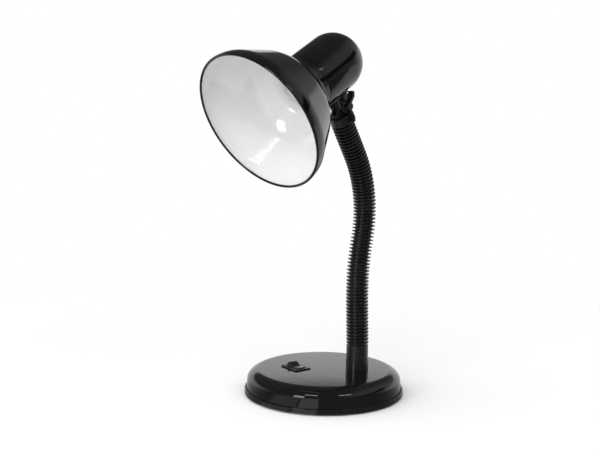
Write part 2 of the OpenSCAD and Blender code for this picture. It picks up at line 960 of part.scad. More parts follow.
module hinge_washer() {
  color("silver")
    hinge_axis()
      translate([0, 0, ear_y + ear_t])
        ring(hinge_washer_r, bolt_r + 0.15, washer_l);
}

module wing_nut() {
  reach = wing_r - wing_edge_r;
  color("black")
    hinge_axis()
      translate([0, 0, hub_y])
        difference() {
          union() {
            cylinder(r = hub_r, h = hub_l);
            for (side = [0, 180])
              rotate([0, 0, side + wing_turn])
                rotate([90, 0, 0])
                  linear_extrude(wing_t, center = true) {
                    polygon([
                      [hub_r - 1, 0.3],
                      [hub_r + 0.6, 0.3],
                      [wing_r / 2, wing_clear - 0.4],
                      [reach, wing_clear],
                      [wing_r, wing_clear + wing_edge_r],
                      [wing_r, wing_rise - wing_edge_r],
                      [reach, wing_rise],
                      [wing_r * 0.65, wing_rise - 0.6],
                      [hub_r + 0.6, hub_l],
                      [hub_r - 1, hub_l]
                    ]);
                    for (z = [wing_clear + wing_edge_r, wing_rise - wing_edge_r])
                      translate([reach, z])
                        circle(wing_edge_r);
                  }
          }
          translate([0, 0, -1]) cylinder(r = bolt_r + fit_gap, h = hub_l + 5);
        }
}

// Cap and shade
module lamp_cap() {
  color("black")
    head()
      difference() {
        union() {
          rotate_extrude() {
            translate([0, cap_s + cap_bead_r]) square([cap_r, cap_l - cap_bead_r]);
            intersection() {
              translate([0, dome_s]) circle(cap_r);
              translate([0, dome_s - 1]) square([cap_r, cap_r + 2]);
            }
            translate([cap_r - 0.15, cap_s + cap_bead_r]) circle(cap_bead_r);
          }
        }
        rotate_extrude() {
          translate([0, cap_s - 1]) square([cap_r - cap_t, cap_l + 1]);
          intersection() {
            translate([0, dome_s]) circle(cap_r - cap_t);
            translate([0, dome_s - 1]) square([cap_r, cap_r + 2]);
          }
        }
        for (s = bracket_screw_s)
          translate([cap_r - 3, 0, s])
            rotate([0, 90, 0])
              cylinder(r = bracket_screw_r + 0.15, h = 6);
        lead_opening();
      }
}

bell_corners = [
  [rim_r, bead_r],
  [rim_r - 0.1, band_h],
  [bell_shoulder_d / 2, bell_shoulder_s],
  [bell_neck_r, bell_neck_s],
  [bell_neck_r, flange_s]
];
bell_rounding = [20, 38, 3];

// Wall of the bell, a rolled bead at its rim and a flange that the holder clamps
module shade() {
  outer = rounded(bell_corners, bell_rounding);
  inner = rounded(
    shifted(bell_corners, shade_t),
    [bell_rounding[0] - shade_t, bell_rounding[1] - shade_t, bell_rounding[2] + shade_t]
  );
  color("white")
    head()
      rotate_extrude() {
        polygon(concat(outer, reversed(inner)));
        translate([rim_r - bead_r, bead_r]) circle(bead_r);
        translate([holder_hole_r, flange_s - shade_t]) square([bell_neck_r - holder_hole_r, shade_t]);
      }
}

module shade_ring() {
  color("white")
    head()
      translate([0, 0, flange_s - shade_t - ring_l])
        ring(ring_r, holder_r + fit_gap, ring_l);
}

// Lamp holder inside the cap
module holder_skirt() {
  color("white")
    head()
      difference() {
        union() {
          translate([0, 0, skirt_s]) cylinder(r = holder_r, h = body_s - skirt_s);
          translate([0, 0, flange_s]) cylinder(r = skirt_flange_r, h = skirt_flange_t);
        }
        translate([0, 0, skirt_s - 1]) cylinder(r = skirt_bore_r, h = body_s - skirt_s + 2);
      }
}

module holder_body() {
  color("white")
    head()
      difference() {
        union() {
          translate([0, 0, body_s]) cylinder(r = body_r, h = body_l);
          intersection() {
            translate([0, 0, body_s + 1]) cylinder(r = cap_r - cap_t - seat_gap, h = 16);
            translate([body_r - 3, -5, body_s + 1]) cube([10, 10, 16]);
          }
        }
        translate([0, 0, body_s - 1]) cylinder(r = shell_bore_r + shell_t + seat_gap, h = body_floor_s - body_s + 1);
        for (s = bracket_screw_s)
          translate([body_r - 2, 0, s])
            rotate([0, 90, 0])
              cylinder(r = bracket_screw_r + fit_gap, h = 10);
        for (side = [-1, 1])
          translate([contact_screw_x, side * contact_screw_y, body_s + body_l - 5])
            cylinder(r = bracket_screw_r + fit_gap, h = 6);
      }
}

module screw_shell() {
  color("goldenrod")
    head() {
      translate([0, 0, shell_s]) ring(shell_bore_r + shell_t, shell_bore_r, shell_l);
      translate([0, 0, shell_s + shell_l]) ring(shell_bore_r + shell_t, shell_hole_r, shell_floor_t);
    }
}

module centre_contact() {
  strip_t = 0.5;
  color("goldenrod")
    head() {
      translate([0, 0, body_floor_s - contact_l]) cylinder(r = contact_r, h = contact_l);
      translate([0, -2, body_floor_s - strip_t]) cube([11, 4, strip_t]);
    }
}

module contact_screws() {
  color("goldenrod")
    head()
      for (side = [-1, 1])
        translate([contact_screw_x, side * contact_screw_y, body_s + body_l]) {
          translate([0, 0, -4]) cylinder(r = bracket_screw_r, h = 4 + fuse);
          cylinder(r = contact_head_r, h = contact_head_t);
        }
}

// The two wires from the strap's slot to the holder's screws
module head_leads() {
  back_s = body_s + body_l;
  color("firebrick")
    head()
      for (side = [-1, 1])
        wire(eased(eased([
          [cap_r + bracket_t - 0.3, side * lead_y, lead_hole_s],
          [body_r + 2.6, side * lead_y, lead_hole_s + 1.5],
          [body_r + 1.8, side * 2, back_s - 2],
          [body_r - 2, side * 5, back_s + 4.5],
          [contact_screw_x + 5, side * contact_screw_y, back_s + wire_r + 0.2],
          [contact_screw_x + contact_head_r + 0.2, side * contact_screw_y, back_s + wire_r + 0.2]
        ])));
}

anti_slip_pad();
base_tray();
base_screws();
ballast();
base_cover();
cord_grommet();
terminal_block();
terminal_screws();
base_leads();
switch_housing();
switch_terminals();
switch_rocker();
switch_blade();
neck_socket();
neck_washer();
neck_nut();
neck_cuff();
neck_core();
neck_lead();
neck_link(0);  // neck_link_01
neck_link(1);  // neck_link_02
neck_link(2);  // neck_link_03
neck_link(3);  // neck_link_04
neck_link(4);  // neck_link_05
neck_link(5);  // neck_link_06
neck_link(6);  // neck_link_07
neck_link(7);  // neck_link_08
neck_link(8);  // neck_link_09
neck_link(9);  // neck_link_10
neck_link(10);  // neck_link_11
neck_link(11);  // neck_link_12
neck_link(12);  // neck_link_13
neck_link(13);  // neck_link_14
neck_link(14);  // neck_link_15
neck_link(15);  // neck_link_16
neck_end();
knuckle();
knuckle_lead();
head_bracket();
bracket_screws();
hinge_bolt();
hinge_washer();
wing_nut();
lamp_cap();
shade();
shade_ring();
holder_skirt();
holder_body();
screw_shell();
centre_contact();
contact_screws();
head_leads();
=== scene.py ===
"""Desk lamp: the visible pieces, their finishes, the studio and the camera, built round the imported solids."""
import math

import bmesh
import bpy
from mathutils import Matrix, Vector


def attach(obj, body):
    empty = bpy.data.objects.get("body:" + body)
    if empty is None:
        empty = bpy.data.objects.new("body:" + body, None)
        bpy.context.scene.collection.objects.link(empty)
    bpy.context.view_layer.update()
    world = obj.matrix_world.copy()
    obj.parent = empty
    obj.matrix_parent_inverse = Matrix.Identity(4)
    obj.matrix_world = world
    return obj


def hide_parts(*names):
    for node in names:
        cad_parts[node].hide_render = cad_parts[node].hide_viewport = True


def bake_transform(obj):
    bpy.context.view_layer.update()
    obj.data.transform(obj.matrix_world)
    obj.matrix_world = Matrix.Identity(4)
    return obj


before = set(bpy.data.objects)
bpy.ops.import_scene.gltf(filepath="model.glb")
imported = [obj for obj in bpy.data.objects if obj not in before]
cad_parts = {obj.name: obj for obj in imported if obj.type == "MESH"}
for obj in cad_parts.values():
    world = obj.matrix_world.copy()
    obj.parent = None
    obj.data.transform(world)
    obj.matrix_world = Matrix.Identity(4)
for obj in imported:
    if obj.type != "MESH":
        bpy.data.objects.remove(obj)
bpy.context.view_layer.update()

MM = 0.001
Z_AXIS = Vector((0, 0, 1))

# Sizes, in millimetres
LIP_R = 70
PAD_T = 1
PAD_INSET = 4
TRAY_T = 2.2
LIP_H = 4.5
LIP_STEP = 1.5
BASE_H = 22.4
COVER_R = LIP_R - LIP_STEP
COVER_TOP_R = COVER_R - 0.8
COVER_WALL = 2
SHOULDER_RUN = 11
SHOULDER_DROP = 8.5
CROWN_RISE = 0.4
CROWN_SAG = 0.8
CROWN_SPAN = 55
FLOOR_Z = PAD_T + TRAY_T
INLET_Z = 11.8
GROMMET_GROOVE_R = 4.7
GROMMET_R = 6.3
INLET_R = 3.1
INLET_HOLE_R = 4.75
STEM_R = 5
STEM_BORE_R = 3
STEM_L = 10
STEM_HOLE_R = 5.3

SWITCH_POS = (-24.6, -1, BASE_H)
SWITCH_TURN = -54
BEZEL = (21, 15, 2)
FLANGE = (23, 16.4, 1.3)
SWITCH_DEPTH = 12.5
SWITCH_HOLE = (BEZEL[0] - 1.2, BEZEL[1] - 1.2)
SWITCH_BODY = (BEZEL[0] - 1.8, BEZEL[1] - 1.8)
POCKET_TOP = 2.5
WINDOW = (17.4, 9.8)
ROCKER_TILT = 11
ROCKER_PIVOT_Z = -1.5
ROCKER_SWEEP_R = 8.45
ROCKER_W = 9.2
ROCKER_RISE = 4.9
ROCKER_DIP = 1.7
ROCKER_SKIRT = 3

NECK_X = 29.3
NECK_AZ = math.radians(44)
RIB_PITCH = 3.06
CREST_R = 9.85
ROOT_R = CREST_R - 2.4
CORE_R = 4.2
CORE_BORE_R = CORE_R - 1.6
COIL_L = 2.0
COIL_SHAPE = [(0, 0.35), (0.25, 0.05), (0.5, 0), (0.75, 0.05)]
SLEEVE_BORE_R = CORE_R + 0.7
RIB_FOOT = 0.555
RIB_TOP = 0.36
SOCKET_H = 9.6
CUFF_H = 13.2
SOCKET_R = CREST_R + 0.1
CUFF_R = CREST_R - 0.25
SOCKET_Z = BASE_H + SOCKET_H
CUFF_Z = SOCKET_Z + CUFF_H
CHAIN_Z = CUFF_Z + RIB_PITCH
RIBS_PER_LINK = 4
LINKS = 16
LINK_L = RIBS_PER_LINK * RIB_PITCH
LEAN_STOPS = [(0, -2), (37, -2), (91, 13), (168, -30.5), (268, -30.5)]
KNUCKLE_LEAN = -25
COLLAR_L = 8
TONGUE_SEAT = 3
TONGUE_T = 9.4
TONGUE_FLARE = 2.8
GROOVE_W = 4.2
EYE_R = 5.4

SHADE_EL = math.radians(28.4)
RIM_REACH = 121.501
RIM_Z = 244.497
RIM_R = 61.5
BEAD_R = 1.15
BLACK_EDGE = 1.9
SHADE_T = 0.8
BAND_H = 7.4
SHOULDER = (42, 42.2)
BELL_ROUNDING = (20, 38, 9)
BELL_SEAT_R = 25.1
BELL_NECK_R = 24.2
BELL_NECK_S = 54
FLANGE_S = 66
UNDER_FLANGE_S = 50
CAP_R = 25.3
CAP_T = 0.8
CAP_S = 62.5
CAP_L = 34.2
DOME_S = CAP_S + CAP_L
PIVOT_S = 89
PIVOT_DROP = 36.5
STRAP_R = CAP_R + 0.15
STRAP_S = 64.5
STRAP_END_S = 96.5
STRAP_HALF = 8
BRACKET_T = 1.8
EAR_R = EYE_R + 0.9
EAR_Y = TONGUE_T / 2 + 0.3
EAR_T = 1.6
BOLT_R = 2
WASHER_L = 0.8
HUB_R = 3.8
HUB_L = 4.2
HUB_Y = EAR_Y + EAR_T + WASHER_L + 0.15
WING_TURN = -24
WING_REACH = 13.1
WING_T = 2.6
WING_CORNERS = [(2.8, 0.4, 0.2), (5.0, 0.5, 1.0), (7.0, 1.7, 1.5), (WING_REACH, 2.7, 0.9),
                (WING_REACH, 8.0, 1.4), (8.5, 7.9, 3.0), (4.0, 5.4, 0.8), (2.8, 4.0, 0.2)]
DISH_CORNERS = [(6.0, 2.4, 0.5), (11.9, 3.8, 0.7), (11.9, 7.0, 0.9), (7.2, 7.0, 1.8)]
LEAD_HOLE_S = PIVOT_S - 3.6
LEAD_Y = 1.05
WIRE_R = 0.9
HOLDER_R = 20
SKIRT_S = 57
SKIRT_BORE_R = 17
SKIRT_FLANGE_R = 23
RING_L = 4.6
SHELL_BORE_R = 13.5
SHELL_S = 66
SHELL_L = 22

# Frames
ALONG = Vector((math.sin(NECK_AZ), math.cos(NECK_AZ), 0))
ACROSS = Vector((-math.cos(NECK_AZ), math.sin(NECK_AZ), 0))


def axes(x, y, z, origin):
    """A matrix with these columns, its origin given in millimetres."""
    m = Matrix((x, y, z)).transposed().to_4x4()
    m.translation = Vector(origin) * MM
    return m


def plane_point(u, z, y=0.0):
    return Vector((NECK_X, 0, 0)) + ALONG * u + ACROSS * y + Z_AXIS * z


def at_lean(u, z, lean):
    a = math.radians(lean)
    up = ALONG * math.sin(a) + Z_AXIS * math.cos(a)
    side = ALONG * math.cos(a) - Z_AXIS * math.sin(a)
    return axes(side, ACROSS, up, plane_point(u, z))


def shift(x, y, z):
    """A move in millimetres."""
    return Matrix.Translation(Vector((x, y, z)) * MM)


def spin(degrees, axis):
    return Matrix.Rotation(math.radians(degrees), 4, axis)


HEAD = at_lean(-RIM_REACH, RIM_Z, 90 - math.degrees(SHADE_EL))
HINGE = HEAD @ shift(PIVOT_DROP, 0, PIVOT_S) @ spin(90, "X")
SWITCH = shift(*SWITCH_POS) @ spin(SWITCH_TURN, "Z")
FOOT = shift(NECK_X, 0, 0)


def head_uz(s, q):
    c, n = math.cos(SHADE_EL), math.sin(SHADE_EL)
    return Vector((-RIM_REACH + s * c + q * n, RIM_Z + s * n - q * c))


# Outlines
def softened(corners, closed=False, steps=6, guard=0.15):
    """Rounds an outline whose corners are (x, y, radius), with a guard point beside each arc so flats stay flat."""
    out = []
    n = len(corners)
    for i, (x, y, r) in enumerate(corners):
        p = Vector((x, y))
        if r <= 0 or (not closed and i in (0, n - 1)):
            out.append(p)
            continue
        a = Vector(corners[i - 1][:2])
        b = Vector(corners[(i + 1) % n][:2])
        u, v = (a - p).normalized(), (b - p).normalized()
        half = math.acos(max(-1.0, min(1.0, u.dot(v)))) / 2
        cut = r / math.tan(half)
        middle = p + (u + v).normalized() * (r / math.sin(half))
        start, end = p + u * cut, p + v * cut
        if (a - start).length > 3 * guard:
            out.append(start + u * guard)
        turn = (start - middle).angle_signed(end - middle, 0)
        for k in range(steps + 1):
            spoke = (start - middle).copy()
            t = -turn * k / steps
            out.append(middle + Vector((spoke.x * math.cos(t) - spoke.y * math.sin(t),
                                        spoke.x * math.sin(t) + spoke.y * math.cos(t))))
        if (b - end).length > 3 * guard:
            out.append(end + v * guard)
    return out


def looped(corners, steps=4, guard=0.05):
    """A softened outline that closes on itself."""
    return softened(corners, True, steps, guard)


def points(*pairs):
    return [Vector(pair) for pair in pairs]


def arc(centre, radius, from_deg, to_deg, steps):
    turns = [math.radians(from_deg + (to_deg - from_deg) * k / steps) for k in range(steps + 1)]
    return points(*[(centre[0] + radius * math.cos(a), centre[1] + radius * math.sin(a)) for a in turns])


# Mesh making
def shaded(mesh, sharp):
    """Smooth faces that keep the edges sharper than this angle."""
    mesh.polygons.foreach_set("use_smooth", [True] * len(mesh.polygons))
    mesh.set_sharp_from_angle(angle=math.radians(sharp))


def added(name, data):
    thing = bpy.data.objects.new(name, data)
    bpy.context.scene.collection.objects.link(thing)
    return thing


def piece_from(name, bm, matrix=None, sharp=35):
    bmesh.ops.remove_doubles(bm, verts=bm.verts, dist=1e-7)
    bmesh.ops.recalc_face_normals(bm, faces=bm.faces)
    mesh = bpy.data.meshes.new(name)
    bm.to_mesh(mesh)
    bm.free()
    if matrix is not None:
        mesh.transform(matrix)
    shaded(mesh, sharp)
    return added(name, mesh)


def turned(name, outline, matrix, segments=96, closed=True, sharp=35):
    """A piece turned about its own z axis from an outline of (radius, height)."""
    bm = bmesh.new()
    rings = []
    for r, z in outline:
        if r < 1e-6:
            rings.append([bm.verts.new((0, 0, z * MM))])
        else:
            rings.append([bm.verts.new((r * MM * math.cos(2 * math.pi * k / segments),
                                        r * MM * math.sin(2 * math.pi * k / segments), z * MM))
                          for k in range(segments)])
    pairs = list(zip(rings, rings[1:] + rings[:1])) if closed else list(zip(rings, rings[1:]))
    for a, b in pairs:
        for k in range(segments):
            j = (k + 1) % segments
            corners = [a[k % len(a)], a[j % len(a)], b[j % len(b)], b[k % len(b)]]
            corners = [c for i, c in enumerate(corners) if c not in corners[:i]]
            if len(corners) > 2:
                bm.faces.new(corners)
    return piece_from(name, bm, matrix, sharp)


def bridged(bm, a, b):
    """Faces between two rings of points that have the same count."""
    n = len(a)
    for k in range(n):
        bm.faces.new((a[k], a[(k + 1) % n], b[(k + 1) % n], b[k]))


def lofted(name, rings, sharp=35, close_ends=True):
    """A skin through rings of points that all have the same count, in millimetres."""
    bm = bmesh.new()
    made = [[bm.verts.new(Vector(p) * MM) for p in ring] for ring in rings]
    for a, b in zip(made, made[1:]):
        bridged(bm, a, b)
    if close_ends:
        n = len(made[0])
        for ring in (made[0], made[-1]):
            middle = bm.verts.new(sum((v.co for v in ring), Vector()) / n)
            for k in range(n):
                bm.faces.new((ring[k], ring[(k + 1) % n], middle))
    return piece_from(name, bm, None, sharp)


def bevelled(bm, edges, width, steps):
    if width > 0:
        bmesh.ops.bevel(bm, geom=edges, offset=width * MM, segments=steps, profile=0.5, affect="EDGES",
                        clamp_overlap=True)


def plate(name, outline, thickness, matrix, edge=0.25, edge_steps=3):
    """A flat piece with rounded edges, from z = 0 up to its thickness."""
    bm = bmesh.new()
    face = bm.faces.new([bm.verts.new((p[0] * MM, p[1] * MM, 0)) for p in outline])
    grown = bmesh.ops.extrude_face_region(bm, geom=[face])
    for v in grown["geom"]:
        if isinstance(v, bmesh.types.BMVert):
            v.co.z += thickness * MM
    bm.normal_update()
    rims = [e for e in bm.edges if len(e.link_faces) == 2
            and abs(e.link_faces[0].normal.z) + abs(e.link_faces[1].normal.z) > 0.9
            and abs(abs(e.link_faces[0].normal.z) - abs(e.link_faces[1].normal.z)) > 0.5]
    bevelled(bm, rims, edge, edge_steps)
    return piece_from(name, bm, matrix)


def block(name, size, matrix, edge=0.3):
    """A box with rounded edges, its middle at the matrix's origin."""
    bm = bmesh.new()
    bmesh.ops.create_cube(bm, size=1)
    for v in bm.verts:
        v.co = Vector((v.co.x * size[0], v.co.y * size[1], v.co.z * size[2])) * MM
    bevelled(bm, list(bm.edges), edge, 3)
    return piece_from(name, bm, matrix)


def drill(name, radius, low, high, matrix):
    """A tool that cuts a round hole between two heights."""
    return turned(name, points((0, low), (radius, low), (radius, high), (0, high)), matrix, 48, closed=False)


def plate_outline(length, width, corner):
    x, y = length / 2, width / 2
    return softened([(-x, -y, corner), (x, -y, corner), (x, y, corner), (-x, y, corner)], closed=True)


def joined(piece, others, operation="UNION", sharp=35):
    """Applies one solid operation after another and throws the tools away."""
    for other in others:
        step = piece.modifiers.new("step", "BOOLEAN")
        step.operation = operation
        step.solver = "EXACT"
        step.object = other
        graph = bpy.context.evaluated_depsgraph_get()
        mesh = bpy.data.meshes.new_from_object(piece.evaluated_get(graph))
        piece.modifiers.clear()
        piece.data = mesh
        bpy.data.objects.remove(other)
    shaded(piece.data, sharp)


def carried(path, seed):
    """Side vectors carried along a path without twist."""
    sides = []
    side = Vector(seed)
    for i in range(len(path)):
        run = (path[min(i + 1, len(path) - 1)] - path[max(i - 1, 0)]).normalized()
        side = (side - run * side.dot(run)).normalized()
        sides.append((side.copy(), run.cross(side)))
    return sides


def wire_rings(path, radius, sides=12):
    frames = carried(path, (0.2, 1, 0.1))
    return [[p + radius * (math.cos(2 * math.pi * k / sides) * a + math.sin(2 * math.pi * k / sides) * b)
             for k in range(sides)] for p, (a, b) in zip(path, frames)]


def eased(path):
    """A path with its corners cut three times over."""
    for _ in range(3):
        cut = [path[0]]
        for a, b in zip(path, path[1:]):
            cut += [a * 0.75 + b * 0.25, a * 0.25 + b * 0.75]
        path = cut + [path[-1]]
    return path


# Shader node groups
def group(name, inputs, outputs):
    """A node group that takes a place and further inputs, given with their defaults, and puts out values."""
    tree = bpy.data.node_groups.new(name, "ShaderNodeTree")
    tree.interface.new_socket("Vector", in_out="INPUT", socket_type="NodeSocketVector")
    for label, value in inputs.items():
        kind = "NodeSocketVector" if isinstance(value, tuple) else "NodeSocketFloat"
        tree.interface.new_socket(label, in_out="INPUT", socket_type=kind).default_value = value
    for label in outputs:
        tree.interface.new_socket(label, in_out="OUTPUT", socket_type="NodeSocketFloat")
    given, out = tree.nodes.new("NodeGroupInput"), tree.nodes.new("NodeGroupOutput")
    return tree, given.outputs, out.inputs


def noise_of(tree, vector, scale, detail=3.0, roughness=0.5, distortion=0.0):
    n = tree.nodes.new("ShaderNodeTexNoise")
    n.inputs["Detail"].default_value = detail
    n.inputs["Roughness"].default_value = roughness
    n.inputs["Distortion"].default_value = distortion
    tree.links.new(vector, n.inputs["Vector"])
    if isinstance(scale, (int, float)):
        n.inputs["Scale"].default_value = scale
    else:
        tree.links.new(scale, n.inputs["Scale"])
    return n.outputs["Fac"]


def math_of(tree, operation, a, b=None, clamp=False):
    n = tree.nodes.new("ShaderNodeMath")
    n.operation = operation
    n.use_clamp = clamp
    for i, value in enumerate((a, b)):
        if value is None:
            continue
        if isinstance(value, (int, float)):
            n.inputs[i].default_value = value
        else:
            tree.links.new(value, n.inputs[i])
    return n.outputs[0]


def times(tree, a, b):
    return math_of(tree, "MULTIPLY", a, b)


def span_of(tree, value, low, high, to_low=0.0, to_high=1.0):
    n = tree.nodes.new("ShaderNodeMapRange")
    n.interpolation_type = "SMOOTHSTEP"
    tree.links.new(value, n.inputs["Value"])
    for label, v in (("From Min", low), ("From Max", high), ("To Min", to_low), ("To Max", to_high)):
        if isinstance(v, (int, float)):
            n.inputs[label].default_value = v
        else:
            tree.links.new(v, n.inputs[label])
    return n.outputs["Result"]


def mixed(tree, factor, a, b):
    n = tree.nodes.new("ShaderNodeMix")
    n.data_type = "RGBA"
    tree.links.new(factor, n.inputs["Factor"])
    for socket, value in ((n.inputs[6], a), (n.inputs[7], b)):
        if isinstance(value, tuple):
            socket.default_value = (*value, 1)
        else:
            tree.links.new(value, socket)
    return n.outputs[2]


def shaders_mixed(tree, factor, a, b):
    n = tree.nodes.new("ShaderNodeMixShader")
    for socket, value in zip(n.inputs, (factor, a, b)):
        tree.links.new(value, socket)
    return n.outputs[0]


def make_lacquer_ripple():
    """The faint orange peel of a sprayed or moulded gloss surface, as a height."""
    tree, given, out = group("lacquer_ripple", {"Scale": 260.0}, ["Height"])
    broad = noise_of(tree, given["Vector"], given["Scale"], 1.0, 0.4)
    fine_scale = times(tree, given["Scale"], 4.1)
    fine = noise_of(tree, given["Vector"], fine_scale, 2.0, 0.5)
    part = times(tree, fine, 0.16)
    tree.links.new(math_of(tree, "ADD", broad, part), out["Height"])
    return tree


def make_handling():
    """Finger smears and settled dust: a roughness that varies, and a dust mask that prefers faces turned up."""
    tree, given, out = group("handling", {"Clean": 0.1, "Smeared": 0.2, "Dust": 0.1}, ["Roughness", "Dust"])
    smear = noise_of(tree, given["Vector"], 21.0, 4.0, 0.55, 0.6)
    streak = noise_of(tree, given["Vector"], 95.0, 3.0, 0.6, 1.2)
    blend = math_of(tree, "ADD", times(tree, smear, 0.7), times(tree, streak, 0.3))
    tree.links.new(span_of(tree, blend, 0.42, 0.66, given["Clean"], given["Smeared"]), out["Roughness"])
    speck = noise_of(tree, given["Vector"], 1400.0, 2.0, 0.6)
    specks = span_of(tree, speck, 0.6, 0.74)
    facing = tree.nodes.new("ShaderNodeNewGeometry")
    parts = tree.nodes.new("ShaderNodeSeparateXYZ")
    tree.links.new(facing.outputs["Normal"], parts.inputs[0])
    upward = span_of(tree, parts.outputs["Z"], 0.2, 1.0)
    patchy = span_of(tree, smear, 0.35, 0.7, 0.3, 1.0)
    amount = times(tree, times(tree, specks, upward), patchy)
    tree.links.new(times(tree, amount, given["Dust"]), out["Dust"])
    return tree


def make_moulded_grain():
    """The fine spark-eroded grain of a satin moulding, as a height and a slight tone."""
    tree, given, out = group("moulded_grain", {"Scale": 2200.0}, ["Height", "Tone"])
    grain = noise_of(tree, given["Vector"], given["Scale"], 2.0, 0.6)
    pores = tree.nodes.new("ShaderNodeTexVoronoi")
    tree.links.new(given["Vector"], pores.inputs["Vector"])
    tree.links.new(times(tree, given["Scale"], 0.6), pores.inputs["Scale"])
    height = math_of(tree, "ADD", times(tree, grain, 0.6), times(tree, pores.outputs["Distance"], 0.4))
    tree.links.new(height, out["Height"])
    broad = noise_of(tree, given["Vector"], 60.0, 3.0, 0.5)
    tree.links.new(span_of(tree, broad, 0.35, 0.65), out["Tone"])
    return tree


def make_edge_rub():
    """Where corners are rubbed, from the surface's own convexity broken up by noise."""
    tree, given, out = group("edge_rub", {"Amount": 0.5}, ["Rub"])
    shape = tree.nodes.new("ShaderNodeNewGeometry")
    convex = span_of(tree, shape.outputs["Pointiness"], 0.52, 0.6)
    broken = span_of(tree, noise_of(tree, given["Vector"], 420.0, 4.0, 0.65), 0.42, 0.62)
    rub = math_of(tree, "MULTIPLY", times(tree, convex, broken), given["Amount"], clamp=True)
    tree.links.new(rub, out["Rub"])
    return tree


def make_drawn_lines():
    """Drawing and tumbling marks on metal, as a height and a stain mask."""
    tree, given, out = group("drawn_lines", {"Stretch": (300, 300, 4000)}, ["Height", "Stain"])
    scaled = tree.nodes.new("ShaderNodeVectorMath")
    scaled.operation = "MULTIPLY"
    tree.links.new(given["Vector"], scaled.inputs[0])
    tree.links.new(given["Stretch"], scaled.inputs[1])
    tree.links.new(noise_of(tree, scaled.outputs[0], 1.0, 4.0, 0.6), out["Height"])
    stain = noise_of(tree, given["Vector"], 130.0, 4.0, 0.6, 0.4)
    tree.links.new(span_of(tree, stain, 0.4, 0.68), out["Stain"])
    return tree


RIPPLE = make_lacquer_ripple()
HANDLING = make_handling()
GRAIN = make_moulded_grain()
EDGE_RUB = make_edge_rub()
DRAWN = make_drawn_lines()


# Finishes
DUST_TONE = (0.35, 0.34, 0.33)
ENAMEL_TONES = ((0.004, 0.004, 0.0045), (0.02, 0.02, 0.022))
MOULDED_TONES = ((0.006, 0.006, 0.0065), (0.03, 0.03, 0.032))


def finish_base(name, settings):
    """A material with its shader and the piece's own coordinates. Uniform values sit on the shader's sockets."""
    material = bpy.data.materials.new(name)
    material.use_nodes = True
    tree = material.node_tree
    shader = tree.nodes["Principled BSDF"]
    for label, value in settings.items():
        shader.inputs[label].default_value = value
    where = tree.nodes.new("ShaderNodeTexCoord").outputs["Object"]
    return material, tree, shader, where


def placed(tree, made, where, **values):
    node = tree.nodes.new("ShaderNodeGroup")
    node.node_tree = made
    tree.links.new(where, node.inputs["Vector"])
    for label, value in values.items():
        node.inputs[label].default_value = value
    return node


def bumped(tree, shader, height, distance):
    bump = tree.nodes.new("ShaderNodeBump")
    bump.inputs["Strength"].default_value = 1.0
    bump.inputs["Distance"].default_value = distance
    tree.links.new(height, bump.inputs["Height"])
    tree.links.new(bump.outputs["Normal"], shader.inputs["Normal"])
    return bump


def gloss_finish(name, deep, worn, clean, smeared, ripple_scale, ripple_depth, dust=0.25, rub=0.35, coat=0.0):
    """Sprayed or moulded high gloss: orange peel, smears, settled dust and rubbed edges."""
    material, tree, shader, where = finish_base(name, {"IOR": 1.5, "Coat Weight": coat, "Coat Roughness": 0.04,
                                                      "Coat IOR": 1.5})
    film = placed(tree, HANDLING, where, Clean=clean, Smeared=smeared, Dust=dust)
    edge = placed(tree, EDGE_RUB, where, Amount=rub)
    tone = mixed(tree, edge.outputs["Rub"], deep, worn)
    tree.links.new(mixed(tree, film.outputs["Dust"], tone, DUST_TONE), shader.inputs["Base Color"])
    tree.links.new(film.outputs["Roughness"], shader.inputs["Roughness"])
    peel = placed(tree, RIPPLE, where, Scale=ripple_scale)
    bump = bumped(tree, shader, peel.outputs["Height"], ripple_depth)
    tree.links.new(bump.outputs["Normal"], shader.inputs["Coat Normal"])
    return material


def satin_finish(name, deep, pale, clean, smeared, grain_scale, grain_depth, dust=0.2, rub=0.5):
    """Satin moulding: eroded grain, tone drift, dust and rubbed edges."""
    material, tree, shader, where = finish_base(name, {"IOR": 1.5})
    film = placed(tree, HANDLING, where, Clean=clean, Smeared=smeared, Dust=dust)
    grain = placed(tree, GRAIN, where, Scale=grain_scale)
    edge = placed(tree, EDGE_RUB, where, Amount=rub)
    tone = mixed(tree, grain.outputs["Tone"], deep, tuple(0.75 * a + 0.25 * b for a, b in zip(deep, pale)))
    tone = mixed(tree, edge.outputs["Rub"], tone, pale)
    tree.links.new(mixed(tree, film.outputs["Dust"], tone, DUST_TONE), shader.inputs["Base Color"])
    tree.links.new(film.outputs["Roughness"], shader.inputs["Roughness"])
    bumped(tree, shader, grain.outputs["Height"], grain_depth)
    return material


def metal_finish(name, bright, stained, clean, smeared, stretch, depth):
    """Bare or plated metal: drawing marks, stains and uneven polish."""
    material, tree, shader, where = finish_base(name, {"Metallic": 1.0})
    marks = placed(tree, DRAWN, where, Stretch=stretch)
    film = placed(tree, HANDLING, where, Clean=clean, Smeared=smeared, Dust=0.0)
    tree.links.new(mixed(tree, marks.outputs["Stain"], bright, stained), shader.inputs["Base Color"])
    tree.links.new(film.outputs["Roughness"], shader.inputs["Roughness"])
    bumped(tree, shader, marks.outputs["Height"], depth)
    return material


